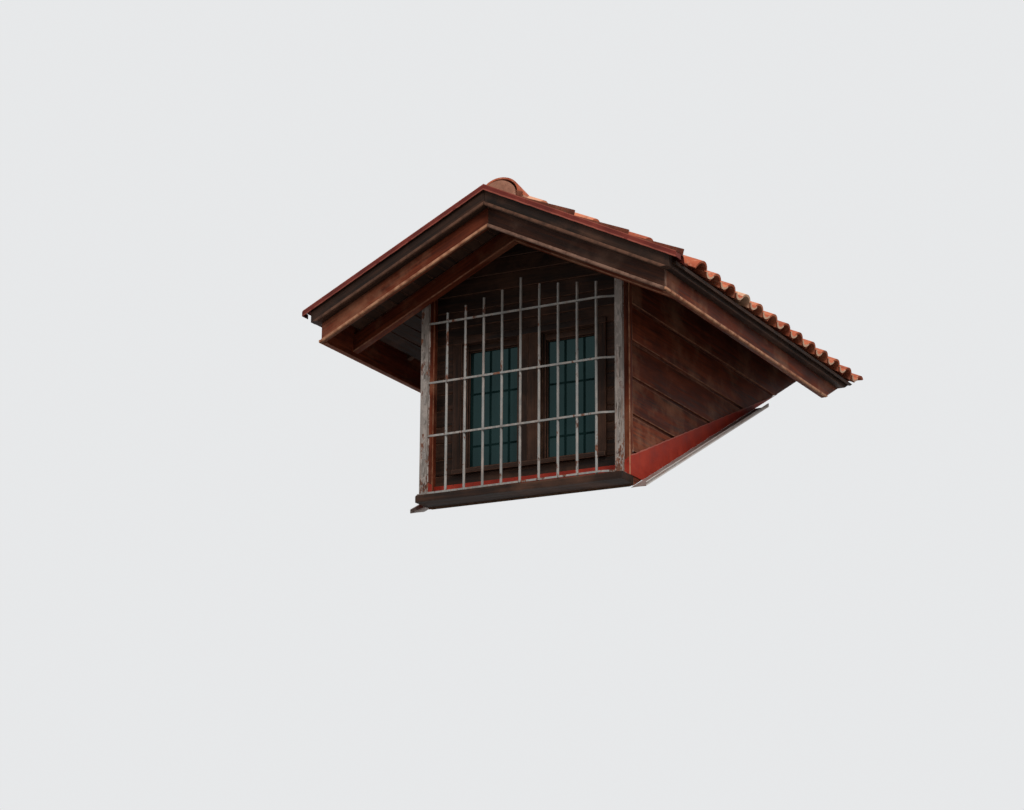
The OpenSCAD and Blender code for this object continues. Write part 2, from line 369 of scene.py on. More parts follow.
@dataclass(frozen=True)
class Timber:
    """Board timber with streaked grain, worn arrises, painted highlights on marked faces and weather stains.
    """

    name: str
    dark: Colour
    mid: Colour
    light: Colour
    worn_and_highlit: Colour
    grain: Grain = Grain.BOARDS
    wear_and_highlight: float = 0.55
    roughness: float = 0.62

    def coordinates(self, graph: Graph) -> bpy.types.NodeSocket:
        """Finds coordinates whose x follows the grain.

        Args:
            graph: The material's graph.

        Returns:
            The coordinates.
        """
        if self.grain is Grain.BOARDS:
            return graph.attribute("grain", "Vector")
        space = graph.object_space()
        if self.grain is Grain.DOWN_SLOPE:
            parts = graph.node("ShaderNodeSeparateXYZ")
            graph.feed(parts.inputs[0], space)
            joined = graph.node("ShaderNodeCombineXYZ")
            graph.feed(joined.inputs[0], graph.math("ABSOLUTE", parts.outputs[0]))
            graph.feed(joined.inputs[1], parts.outputs[1])
            graph.feed(joined.inputs[2], parts.outputs[2])
            return graph.stretch(joined.outputs[0], (1, 1, 1), (0, -ROOF.pitch, 0))
        turn = (0, 0, -math.pi / 2) if self.grain is Grain.ALONG_Y else (0, 0, 0)
        return graph.stretch(space, (1, 1, 1), turn)

    def material(self) -> bpy.types.Material:
        """Streaks the stain with grain, then fades it in patches and wears its arrises, with painted
        highlights on marked beads, ends and arrises.

        Returns:
            The material.
        """
        graph = Graph(self.name)
        run = self.coordinates(graph)
        streaks = graph.noise(graph.stretch(run, (2.2, 60, 60)), 1.0, 7, 0.62, 0.4)
        figure = graph.noise(graph.stretch(run, (1.1, 9, 9)), 1.3, 4, 0.55, 1.6)
        blotches = graph.noise(run, 3.1, 5, 0.6)
        grain = graph.math("ADD", graph.math("MULTIPLY", streaks, 0.6), graph.math("MULTIPLY", figure, 0.4))
        colour = graph.ramp(graph.remap(grain, 0.36, 0.64),
                            ((0.0, self.dark), (0.5, self.mid), (1.0, self.light)))
        if self.grain is Grain.BOARDS:
            level = graph.remap(graph.attribute("tone"), 0, 1, 0.74, 1.22)
            shade = graph.node("ShaderNodeCombineColor")
            for index in range(3):
                graph.feed(shade.inputs[index], level)
            colour = graph.mix(1.0, colour, shade.outputs[0], "MULTIPLY")
        faded = graph.math("MULTIPLY", graph.remap(blotches, 0.5, 0.68), 0.35)
        colour = graph.mix(faded, colour, self.worn_and_highlit)
        stained = graph.math("MULTIPLY", graph.remap(blotches, 0.44, 0.3), 0.5)
        colour = graph.mix(stained, colour, self.dark)
        # The pale mix on marked faces is real wear on eased arrises, and painted highlight on beads, plumb
        # ends and the corner arris.
        if self.grain is Grain.BOARDS:
            rub_and_highlight = graph.remap(graph.noise(run, 23, 3), 0.34, 0.6, 0.25, 1)
            edge = graph.math("MULTIPLY", graph.attribute("wear_and_highlight"), graph.math("MULTIPLY", rub_and_highlight, self.wear_and_highlight))
            colour = graph.mix(edge, colour, self.worn_and_highlit)
        graph.set("Base Color", colour)
        graph.set("Roughness", graph.remap(streaks, 0.3, 0.7, self.roughness - 0.12, self.roughness + 0.16))
        graph.set("Specular IOR Level", 0.12)
        graph.bump(graph.math("ADD", streaks, graph.math("MULTIPLY", figure, 0.7)), 0.0018, 0.7)
        return graph.material


@dataclass(frozen=True)
class Terracotta:
    """Unglazed roof tile, each tile fired a little differently and weathered."""

    name: str = "barrel_tile"
    soot_and_shade: float = 0.0

    def material(self) -> bpy.types.Material:
        """Fires each tile by its tone, then adds bloom, soot, lichen, painted shade where asked, and a pale
        rim.

        Returns:
            The material.
        """
        graph = Graph(self.name)
        space = graph.attribute("grain", "Vector")
        tone = graph.attribute("tone")
        patches = graph.noise(space, 9, 5, 0.62)
        level = graph.math("ADD", tone, graph.remap(patches, 0.25, 0.75, -0.16, 0.16))
        fired = ((0.0, srgb(120, 56, 38)), (0.28, srgb(154, 78, 54)), (0.55, srgb(172, 92, 64)),
                 (0.8, srgb(188, 116, 86)), (1.0, srgb(206, 164, 134)))
        colour = graph.ramp(level, fired)
        bloom = graph.math("MULTIPLY", graph.remap(graph.noise(space, 26, 6, 0.7), 0.52, 0.72), 0.45)
        colour = graph.mix(bloom, colour, srgb(205, 160, 132))
        soot_and_shade = graph.math("MULTIPLY", graph.remap(graph.noise(space, 5.5, 7, 0.7), 0.47, 0.34), 0.55)
        colour = graph.mix(soot_and_shade, colour, srgb(84, 48, 38))
        lichen = graph.math("GREATER_THAN", graph.noise(space, 70, 2, 0.5), 0.685)
        colour = graph.mix(graph.math("MULTIPLY", lichen, 0.5), colour, srgb(150, 140, 120))
        # Painted shade: a dark veil over the verge pans.
        if self.soot_and_shade:
            verge_shade = graph.remap(graph.noise(space, 12, 5, 0.65), 0.3, 0.6, self.soot_and_shade, self.soot_and_shade - 0.25)
            colour = graph.mix(verge_shade, colour, srgb(46, 27, 26))
        rim = graph.math("MULTIPLY", graph.attribute("wear_and_highlight"), graph.remap(patches, 0.3, 0.5, 0.55, 0.95))
        colour = graph.mix(rim, colour, srgb(226, 186, 156))
        graph.set("Base Color", colour)
        graph.set("Roughness", graph.remap(patches, 0.3, 0.7, 0.78, 0.95))
        graph.set("Specular IOR Level", 0.15)
        graph.bump(graph.math("ADD", graph.noise(space, 60, 6, 0.7), patches), 0.0016, 0.8)
        return graph.material


@dataclass(frozen=True)
class PaintedSheet:
    """Faded red paint on sheet metal, with painted highlights on marked edges and rust along its scratches.
    """

    name: str = "red_sheet"
    dark: Colour = srgb(104, 28, 18)
    mid: Colour = srgb(136, 38, 23)
    light: Colour = srgb(158, 54, 37)
    edge_highlight: Colour = srgb(162, 100, 86)

    def material(self) -> bpy.types.Material:
        """Clouds the paint, then adds painted highlights, runs and specks of rust.

        Returns:
            The material.
        """
        graph = Graph(self.name)
        space = graph.object_space()
        clouds = graph.noise(space, 5, 6, 0.65)
        colour = graph.ramp(graph.remap(clouds, 0.3, 0.7),
                            ((0.0, self.dark), (0.5, self.mid), (1.0, self.light)))
        # Painted highlight: marked faces, such as the verge's roll and drip and the cheek sheet's hem, are
        # paled.
        edge_highlight = graph.math("MULTIPLY", graph.attribute("wear_and_highlight"), graph.remap(clouds, 0.3, 0.6, 0.25, 0.7))
        colour = graph.mix(edge_highlight, colour, self.edge_highlight)
        runs = graph.noise(graph.stretch(space, (22, 22, 3)), 1.4, 5, 0.65)
        streaked = graph.math("MULTIPLY", graph.remap(runs, 0.55, 0.72), 0.5)
        colour = graph.mix(streaked, colour, srgb(94, 44, 32))
        rust = graph.remap(graph.noise(space, 34, 6, 0.75), 0.63, 0.68)
        colour = graph.mix(rust, colour, srgb(74, 38, 25))
        graph.set("Base Color", colour)
        graph.set("Roughness", graph.remap(clouds, 0.3, 0.7, 0.5, 0.72))
        graph.set("Specular IOR Level", 0.15)
        graph.bump(graph.math("ADD", graph.math("MULTIPLY", clouds, 2.0), rust), 0.0012, 0.6)
        return graph.material


@dataclass(frozen=True)
class Galvanised:
    """Dull zinc-coated sheet with crystal spangle and red dust from the tiles."""

    name: str = "zinc_sheet"

    def material(self) -> bpy.types.Material:
        """Sets the spangle, then dusts it and paints a bright reflection on marked faces.

        Returns:
            The material.
        """
        graph = Graph(self.name)
        space = graph.object_space()
        spangle = graph.cells(space, 55, output="Color")
        shine = graph.node("ShaderNodeSeparateColor")
        graph.feed(shine.inputs[0], spangle)
        colour = graph.ramp(graph.remap(shine.outputs[0], 0, 1),
                            ((0.0, srgb(122, 116, 111)), (1.0, srgb(152, 146, 141))))
        dust = graph.math("MULTIPLY", graph.remap(graph.noise(space, 4, 6, 0.7), 0.4, 0.66), 0.75)
        colour = graph.mix(dust, colour, srgb(132, 100, 85))
        # Painted reflection: marked faces on the gutter's rim and lip are paled.
        rub_and_highlight = graph.math("MULTIPLY", graph.attribute("wear_and_highlight"), 0.8)
        colour = graph.mix(rub_and_highlight, colour, srgb(198, 190, 184))
        graph.set("Base Color", colour)
        graph.set("Metallic", 0.3)
        graph.set("Specular IOR Level", 0.3)
        graph.set("Roughness", graph.remap(shine.outputs[1], 0, 1, 0.42, 0.62))
        graph.bump(graph.noise(space, 9, 3), 0.002, 0.4)
        return graph.material


@dataclass(frozen=True)
class PeelingIron:
    """Old off-white paint on iron, flaking in patches down to rust."""

    name: str
    paint: Colour
    grime: Colour
    bare: float

    def material(self) -> bpy.types.Material:
        """Ages the paint and flakes it off in patches over rust.

        Returns:
            The material.
        """
        graph = Graph(self.name)
        space = graph.object_space()
        edges = graph.noise(graph.stretch(space, (1, 1, 0.45)), 26, 8, 0.72)
        broad = graph.noise(graph.stretch(space, (1, 1, 0.6)), 4.2, 4, 0.6)
        level = graph.math("ADD", graph.math("MULTIPLY", edges, 0.6), graph.math("MULTIPLY", broad, 0.4))
        flaked = graph.remap(level, self.bare, self.bare + 0.02)
        paint = graph.mix(graph.remap(broad, 0.35, 0.62, 0.75, 0), self.paint, self.grime)
        streak = graph.remap(graph.noise(graph.stretch(space, (40, 40, 3)), 1.2, 5), 0.52, 0.72)
        paint = graph.mix(graph.math("MULTIPLY", streak, 0.6), paint, srgb(134, 100, 80))
        worn_and_highlit = graph.remap(graph.noise(graph.stretch(space, (1, 1, 0.35)), 31, 6, 0.7), 0.5, 0.56, 0, 0.55)
        paint = graph.mix(worn_and_highlit, paint, srgb(152, 140, 131))
        rusting = ((0.35, srgb(58, 36, 27)), (0.55, srgb(104, 62, 42)), (0.75, srgb(134, 86, 58)))
        rust = graph.ramp(graph.noise(space, 48, 5, 0.7), rusting)
        graph.set("Base Color", graph.mix(flaked, paint, rust))
        graph.set("Roughness", graph.remap(flaked, 0, 1, 0.52, 0.9))
        graph.bump(graph.math("SUBTRACT", graph.math("MULTIPLY", edges, 0.3), flaked), 0.0007, 0.9)
        return graph.material


@dataclass(frozen=True)
class WindowGlass:
    """Old single glazing in front of a dark room: an opaque deep green-grey that paints the room's shade,
    with a clear mirror image tinted teal as painted reflection.
    """

    name: str = "window_glass"

    def material(self) -> bpy.types.Material:
        """Paints the room's shade into the glass, tints its reflections teal as painted reflection and films
        it a little.

        Returns:
            The material.
        """
        graph = Graph(self.name)
        space = graph.object_space()
        film = graph.noise(space, 3.2, 4, 0.6)
        # Painted shade: the opaque dark base stands in for the unlit room behind the glass.
        colour = graph.ramp(graph.remap(film, 0.3, 0.7), ((0.0, srgb(12, 28, 28)), (1.0, srgb(24, 44, 43))))
        graph.set("Base Color", colour)
        graph.set("Specular IOR Level", 0.32)
        # Painted reflection: the teal tint colours the mirror image.
        graph.set("Specular Tint", (0.55, 0.95, 0.95))
        graph.set("Roughness", graph.remap(film, 0.35, 0.75, 0.015, 0.06))
        graph.set("IOR", 1.5)
        graph.bump(graph.noise(space, 2.1, 2), 0.0004, 0.5)
        return graph.material


@dataclass(frozen=True)
class LimeMortar:
    """Pale sandy mortar with grit and hair cracks."""

    name: str = "lime_mortar"

    def material(self) -> bpy.types.Material:
        """Clouds the mortar, cracks it and gives it grit.

        Returns:
            The material.
        """
        graph = Graph(self.name)
        space = graph.object_space()
        grit = graph.noise(space, 160, 5, 0.7)
        clouds = graph.noise(space, 11, 5, 0.6)
        colour = graph.ramp(graph.remap(clouds, 0.3, 0.7),
                            ((0.0, srgb(124, 80, 60)), (0.6, srgb(150, 102, 80)), (1.0, srgb(172, 130, 108))))
        cracks = graph.remap(graph.cells(space, 30, "DISTANCE_TO_EDGE"), 0.0, 0.03, 0.6, 0)
        colour = graph.mix(cracks, colour, srgb(96, 70, 58))
        graph.set("Base Color", colour)
        graph.set("Roughness", 0.93)
        graph.bump(graph.math("ADD", grit, clouds), 0.003, 0.8)
        return graph.material


class Piece:
    """One object of the model, gathered from closed solids that are each shaped by themselves."""

    def __init__(self, name: str, seed: int = 1, side: Side = Side.RIGHT) -> None:
        """Starts an empty piece.

        Args:
            name: The object's name.
            seed: Where its random draws start.
            side: The side it ends up on; it is drawn on the right.
        """
        self.name = name
        self.side = side
        self.random = Random(seed)
        self.bm = bmesh.new()
        self.layers(self.bm)

    @staticmethod
    def layers(solid: bmesh.types.BMesh) -> tuple[bmesh.types.BMLayerItem, ...]:
        """Gives a mesh the grain, tone and marks for wear and painted highlight that the finishes read, and
        returns them.
        """
        return (solid.verts.layers.float_vector.new("grain"), solid.verts.layers.float.new("tone"),
                solid.faces.layers.float.new("wear_and_highlight"))

    def add(self, solid: bmesh.types.BMesh, along: Along = Along.X, place: Matrix = Matrix.Identity(4),
            cuts: Sequence[Cut] = (), tone: float | None = None,
            worn_and_highlit: Sequence[bmesh.types.BMFace] = (), bare: float = 0.0, end_highlight: float = 0.0) -> None:
        """Marks a solid's grain, places it, cuts it and takes it in.

        Args:
            solid: The closed solid, which is used up.
            along: Which way its grain runs in its own coordinates.
            place: Where it goes.
            cuts: The saw cuts made once it is in place.
            tone: Its lightness, 0 to 1, drawn at random where None.
            worn_and_highlit: Faces that show wear, and faces that get a painted highlight.
            bare: How pale all its faces are painted as a highlight; 2 is the palest.
            end_highlight: How strong a painted highlight its plumb saw cuts across x get.
        """
        worn_and_highlit_at = {face.index for face in worn_and_highlit}
        grain, shade, wear_and_highlight = self.layers(solid)
        shift = Vector([self.random.uniform(-9, 9) for _ in range(3)])
        tone = self.random.random() if tone is None else tone
        for vertex in solid.verts:
            vertex[grain] = Vector([vertex.co[i] for i in along.value]) + shift
            vertex[shade] = tone
        for face in solid.faces:
            face[wear_and_highlight] = max(bare, float(face.index in worn_and_highlit_at))
        bmesh.ops.transform(solid, matrix=place, verts=solid.verts[:])
        for cut in cuts:
            cut.apply(solid)
        if solid.faces:
            bmesh.ops.recalc_face_normals(solid, faces=solid.faces[:])
            for face in solid.faces:
                if end_highlight and abs(face.normal.x) > 0.99:
                    face[wear_and_highlight] = end_highlight
            carrier = bpy.data.meshes.new("carrier")
            solid.to_mesh(carrier)
            self.bm.from_mesh(carrier)
            bpy.data.meshes.remove(carrier)
        solid.free()

    def board(self, low: Point, high: Point, along: Along = Along.X, ease: float = 0.003,
              segments: int = 1, taper: Callable[[bmesh.types.BMVert], None] | None = None,
              **placing: object) -> None:
        """Adds a board with eased arrises.

        Args:
            low: Its lowest corner.
            high: Its highest corner.
            along: Which way its grain runs.
            ease: How much is taken off the arrises.
            segments: How many facets round them.
            taper: Moves the sharp board's corners before its arrises are eased.
            placing: Passed on to add.
        """
        solid = bmesh.new()
        bmesh.ops.create_cube(solid, size=1)
        size = Vector(high) - Vector(low)
        middle = (Vector(high) + Vector(low)) / 2
        bmesh.ops.transform(solid, matrix=Matrix.Translation(middle) @ Matrix.Diagonal((*size, 1)),
                            verts=solid.verts[:])
        if taper:
            for vertex in solid.verts:
                taper(vertex)
        worn_and_highlit = self.bevel(solid, solid.edges[:], ease, segments) if ease else []
        self.add(solid, along, worn_and_highlit=worn_and_highlit, **placing)

    @staticmethod
    def bevel(solid: bmesh.types.BMesh, edges: Sequence[bmesh.types.BMEdge], offset: float,
              segments: int = 1) -> list[bmesh.types.BMFace]:
        """Eases edges of a solid.

        Args:
            solid: The solid.
            edges: Its edges to ease.
            offset: How much is taken off.
            segments: How many facets round each edge.

        Returns:
            The new faces, with all indices up to date.
        """
        made = bmesh.ops.bevel(solid, geom=list(edges), offset=offset, offset_type="OFFSET",
                               segments=segments, profile=0.5, affect="EDGES", material=-1,
                               clamp_overlap=True)
        solid.faces.index_update()
        return made["faces"]

    def sheet(self, shape: Callable[[float, float], Point], steps: tuple[int, int], thickness: float,
              highlit_face: Callable[[Vector], bool] | None = None, **placing: object) -> None:
        """Adds a thin folded sheet.

        Args:
            shape: Gives the sheet's place for shares of its length and its width.
            steps: How finely it is divided along and across.
            thickness: The metal's thickness.
            highlit_face: Tells by a face's middle whether it gets a painted highlight.
            placing: Passed on to add.
        """
        solid = bmesh.new()
        bmesh.ops.create_grid(solid, x_segments=steps[0], y_segments=steps[1], size=0.5)
        for vertex in solid.verts:
            vertex.co = shape(vertex.co.x + 0.5, vertex.co.y + 0.5)
        solid.normal_update()
        bmesh.ops.solidify(solid, geom=solid.faces[:], thickness=thickness)
        solid.faces.index_update()
        worn_and_highlit = [face for face in solid.faces if highlit_face and highlit_face(face.calc_center_median())]
        self.add(solid, worn_and_highlit=worn_and_highlit, **placing)

    def finish(self, material: bpy.types.Material, nodes: Sequence[str] = (),
               sharp: float = 32) -> bpy.types.Object:
        """Turns what was gathered into an object of the model.

        Args:
            material: Its finish.
            nodes: The CAD nodes that it stands for.
            sharp: Edges that turn by more degrees than this stay sharp.

        Returns:
            The object.
        """
        if self.side is Side.LEFT:
            bmesh.ops.transform(self.bm, matrix=Matrix.Diagonal((-1, 1, 1, 1)), verts=self.bm.verts[:])
            bmesh.ops.reverse_faces(self.bm, faces=self.bm.faces[:])
        mesh = bpy.data.meshes.new(self.name)
        self.bm.to_mesh(mesh)
        self.bm.free()
        mesh.shade_smooth()
        mesh.set_sharp_from_angle(angle=math.radians(sharp))
        mesh.materials.append(material)
        made = bpy.data.objects.new(self.name, mesh)
        bpy.context.scene.collection.objects.link(made)
        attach(made, "root")
        if nodes:
            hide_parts(*nodes)
        log.info("%s: %d faces", self.name, len(mesh.polygons))
        return made


class Finishes:
    """Every finish of the dormer, made once."""

    def __init__(self) -> None:
        """Makes the materials."""
        stain = dict(dark=srgb(42, 17, 10), mid=srgb(86, 36, 19),
                     light=srgb(112, 52, 30), worn_and_highlit=srgb(166, 120, 92))
        # Painted shade: near-black copies of the stain for the soffits, upper tier, eave board, front boards,
        # windows and sill.
        shade = dict(dark=srgb(18, 13, 10), mid=srgb(40, 26, 19),
                     light=srgb(58, 38, 28), worn_and_highlit=srgb(100, 68, 52))
        # Painted shade: a darker copy of the stain for the right lower barge board.
        barge_shade = dict(dark=srgb(24, 14, 9), mid=srgb(50, 27, 18),
                      light=srgb(72, 41, 28), worn_and_highlit=srgb(122, 92, 77))
        sawn = dict(dark=srgb(50, 34, 25), mid=srgb(84, 60, 44),
                    light=srgb(112, 84, 62), worn_and_highlit=srgb(122, 98, 78))
        self.boards = Timber("stained_boards", **stain).material()
        self.barge_shade_boards = Timber("barge_shade_boards", **barge_shade).material()
        self.painted_shade_boards = Timber("shaded_boards", **shade).material()
        self.inner_boards = Timber("sawn_boards", **sawn).material()
        # The sill takes the near-black colours: painted shade.
        self.sill = Timber("sill_timber", **shade, grain=Grain.ALONG_X).material()
        self.sawn_x = Timber("sawn_plates", **sawn, grain=Grain.ALONG_X).material()
        self.sawn_y = Timber("sawn_ridge", **sawn, grain=Grain.ALONG_Y).material()
        self.sawn_slope = Timber("sawn_rafters", **sawn, grain=Grain.DOWN_SLOPE).material()
        self.tile = Terracotta().material()
        self.verge_shade_tile = Terracotta("verge_shade_tile", 0.8).material()
        self.red = PaintedSheet().material()
        # Painted shade: a darker copy of the red paint for the verge strips.
        self.shaded_red = PaintedSheet("verge_painted_shade", srgb(68, 22, 17), srgb(88, 30, 23), srgb(108, 44, 34),
                                       srgb(136, 72, 58)).material()
        self.rust = PeelingIron("rusted_heads", srgb(88, 48, 31), srgb(60, 34, 25), 0.5).material()
        self.zinc = Galvanised().material()
        self.bars = PeelingIron("bar_paint", srgb(134, 133, 129), srgb(96, 91, 86), 0.56).material()
        self.posts = PeelingIron("post_paint", srgb(130, 121, 114), srgb(90, 79, 71), 0.53).material()
        self.glass = WindowGlass().material()
        self.mortar = LimeMortar().material()


@dataclass
class TileRoof:
    """Two slopes of barrel tiles, laid cover over pan, with ridge tiles bedded in mortar."""

    finishes: Finishes
    spacing: float = 0.22
    exposure: float = 0.395
    length: float = 0.45
    first_column: float = -0.25
    foot: float = 1.411
    courses: int = 4
    wall: float = 0.013
    wide: float = 0.081
    narrow: float = 0.065
    pan_top: float = 0.083
    cover_arc: float = math.radians(156)
    pan_arc: float = math.radians(110)
    verge_upturn: float = math.radians(35)
    verge_lift: float = 0.045
    verge_settle: float = 0.006
    verge_head: float = 0.136
    verge_lag: float = 0.058
    ridge_axis: float = 1.828
    ridge_front: float = -0.415
    ridge_wide: float = 0.132
    ridge_narrow: float = 0.108
    ridge_flat: float = 0.8
    nose_rock: float = math.radians(6)
    nose_pitch: float = 0.085
    ridge_sink: float = 0.03
    ridge_wall: float = 0.014
    ridge_arc: float = math.radians(172)
    ridge_reach: float = 3.9
    plug_radius: float = 0.113
    plug_depth: float = 0.06
    bed_radius: float = 0.038
    bed_length: float = 4.2
    bed_x: float = 0.1

    @staticmethod
    def barrel(length: float, foot: float, head: float, wall: float, arc: float,
               steps: int) -> bmesh.types.BMesh:
        """Turns a tapered half-round tile, its axis along x from its head to its foot.

        Args:
            length: The tile's length.
            foot: Its outer radius at the foot.
            head: Its outer radius at the head.
            wall: Its thickness.
            arc: How far it reaches round its axis, in radians.
            steps: How many facets make that arc.

        Returns:
            The tile.
        """
        tile = bmesh.new()
        outline = ((0, 0, head), (length, 0, foot), (length, 0, foot - wall), (0, 0, head - wall))
        section = tile.faces.new([tile.verts.new(corner) for corner in outline])
        bmesh.ops.rotate(tile, verts=tile.verts[:], cent=(0, 0, 0), matrix=Matrix.Rotation(-arc / 2, 3, "X"))
        bmesh.ops.spin(tile, geom=[section, *section.edges, *section.verts], cent=(0, 0, 0),
                       axis=(1, 0, 0), dvec=(0, 0, 0), angle=arc, steps=steps)
        return tile

    def tone(self, draw: Random) -> float:
        """Draws a tile's lightness: most are orange, some dark, a few pale."""
        return draw.uniform(0.86, 1.0) if draw.random() < 0.07 else draw.uniform(0.18, 0.74)

    def lay(self, piece: Piece, u: float, v: float, cover: bool, verge: bool = False) -> None:
        """Lays one tile on the right slope.

        Args:
            piece: The piece it belongs to.
            u: How far down the slope its foot lies.
            v: Where its middle lies along the ridge.
            cover: Whether it is a cover tile and not a pan.
            verge: Whether it is bedded higher, along the verge.
        """
        draw = piece.random
        tone = self.tone(draw)
        nudge = Matrix.Translation((draw.uniform(-0.003, 0.003), draw.uniform(-0.003, 0.003), 0))
        turn = Matrix.Rotation(draw.uniform(-0.012, 0.012), 4, "Z")
        lift = self.verge_lift - self.verge_settle * u if verge else 0.0
        if cover and u > self.foot - 0.01:
            lift *= 0.35
        if cover:
            tile = self.barrel(self.length, self.wide, self.narrow, self.wall, self.cover_arc, steps=12)
            lie = Matrix.Translation((u - self.length, v, lift - ROOF.dip))
        elif verge:
            upturn = self.verge_upturn
            tile = self.barrel(self.length, self.wide, self.narrow, self.wall, self.pan_arc + upturn,
                               steps=11)
            lie = (Matrix.Translation((u - self.length, v, lift - 0.01)) @ Matrix.Rotation(-0.0667, 4, "Y")
                   @ Matrix.Rotation(math.pi - upturn / 2, 4, "X"))
        else:
            tile = self.barrel(self.length, self.narrow, self.wide, self.wall, self.pan_arc, steps=9)
            lie = (Matrix.Translation((u - self.length, v, self.pan_top - ROOF.dip))
                   @ Matrix.Rotation(math.pi, 4, "X"))
        at_eave = u > self.foot - 0.01 and not cover
        rim = [face for face in tile.faces if min(vertex.co.x for vertex in face.verts) > self.length - 0.001]
        tile.faces.index_update()
        piece.add(tile, place=ROOF.slope @ nudge @ lie @ turn, tone=tone, worn_and_highlit=rim if at_eave else (),
                  cuts=(Cut((self.verge_head if verge else 0.004, 0, 0), (-1, 0, 0)), ROOF.main_roof(0.002)))

    def slope(self, side: Side) -> None:
        """Covers one slope; the pans' laps lie halfway between those of the covers.

        Args:
            side: The slope's side.
        """
        piece = Piece(f"barrel_tiles_{side.word}", 40 + side.value, side)
        verge = Piece(f"verge_pans_{side.word}", 44 + side.value, side)
        reach = ROOF.ridge / math.tan(ROOF.main_pitch)
        columns = math.ceil((reach - self.first_column) / self.spacing)
        for column in range(-1, columns):
            v = self.first_column + column * self.spacing
            for course in range(self.courses + 1):
                u = self.foot - course * self.exposure
                if column >= 0 and self.clear(u, v):
                    self.lay(piece, u, v, True, column == 0)
                v_pan = v + self.spacing / 2
                u_pan = u - self.verge_lag if column < 0 else min(self.foot + 0.008, u + self.exposure / 2)
                if self.clear(u_pan, v_pan):
                    self.lay(verge if column < 0 else piece, u_pan, v_pan, False, column < 0)
        piece.finish(self.finishes.tile, [f"{side.word}_tiles"], sharp=40)
        # The verge pans take the veiled tile: painted shade.
        verge.finish(self.finishes.verge_shade_tile, sharp=40)

    def clear(self, u: float, v: float) -> bool:
        """Tells whether a tile's foot lies below the apex and above the main roof."""
        return u > 0.03 and ROOF.ridge - u * math.sin(ROOF.pitch) + 0.1 > ROOF.main_height(v - 0.08)

    def ridge(self) -> None:
        """Caps the ridge with overlapping tiles."""
        piece = Piece("ridge_caps", 77)
        draw = piece.random
        length = self.length
        front = self.ridge_front
        while front < self.ridge_reach:
            tile = self.barrel(length, self.ridge_wide, self.ridge_narrow, self.ridge_wall,
                               self.ridge_arc, steps=18)
            first = front == self.ridge_front
            tilt = Matrix.Rotation(draw.uniform(-0.008, 0.008), 4, "Z") @ Matrix.Rotation(
                self.nose_rock if first else draw.uniform(-0.02, 0.02), 4, "Y")
            if first:
                tilt = tilt @ Matrix.Rotation(-self.nose_pitch, 4, "X")
            axis = self.ridge_axis - (length * self.nose_pitch if first else self.ridge_sink)
            place = Matrix.Translation((draw.uniform(-0.002, 0.002), front + length, axis))
            flat = Matrix.Diagonal((1, 1, self.ridge_flat, 1))
            piece.add(tile, place=place @ tilt @ Matrix.Rotation(-math.pi / 2, 4, "Z") @ flat,
                      tone=draw.uniform(0.3, 0.62), cuts=(ROOF.main_roof(0.002),))
            front += self.exposure
        piece.finish(self.finishes.tile, ["ridge_tiles"], sharp=40)

    def bedding(self) -> None:
        """Fills the front ridge tile and beds the row in mortar on both slopes."""
        piece = Piece("ridge_mortar", 5)
        for side in (1, -1):
            plug = bmesh.new()
            bmesh.ops.create_cone(plug, cap_ends=True, segments=40, radius1=self.plug_radius,
                                  radius2=self.plug_radius, depth=self.plug_depth)
            lie = Matrix.Rotation(self.nose_rock, 4, "Y") @ Matrix.Diagonal((1, 1, self.ridge_flat, 1))
            place = Matrix.Translation((-0.005, self.ridge_front + 0.036, self.ridge_axis - 0.005)) @ lie @ (
                Matrix.Rotation(math.pi / 2, 4, "X"))
            upward = ROOF.under(ROOF.dip - 0.004, side)
            downward = Cut(upward.point, tuple(-Vector(upward.normal)))
            piece.add(plug, place=place, cuts=(Cut((0, 0, 0), (-side, 0, 0)), downward))
            bed = bmesh.new()
            bmesh.ops.create_cone(bed, cap_ends=True, segments=12, radius1=self.bed_radius,
                                  radius2=self.bed_radius, depth=self.bed_length)
            ring = bmesh.ops.bisect_edges(bed, edges=[e for e in bed.edges if e.calc_length() > 1], cuts=60)
            for vertex in ring["geom_split"]:
                if isinstance(vertex, bmesh.types.BMVert):
                    vertex.co.x += piece.random.uniform(-0.005, 0.005)
                    vertex.co.y += piece.random.uniform(-0.005, 0.005)
            place = Matrix.Translation((side * self.bed_x, 1.75, ROOF.height(self.bed_x) + 0.034)) @ (
                Matrix.Rotation(math.pi / 2, 4, "X"))
            front = Cut((0, self.ridge_front + 0.03, 0), (0, -1, 0))
            piece.add(bed, place=place, cuts=(ROOF.main_roof(0.002), front))
        piece.finish(self.finishes.mortar, sharp=50)

    def build(self) -> None:
        """Builds the whole covering."""
        for side in Side:
            self.slope(side)
        self.ridge()
        self.bedding()


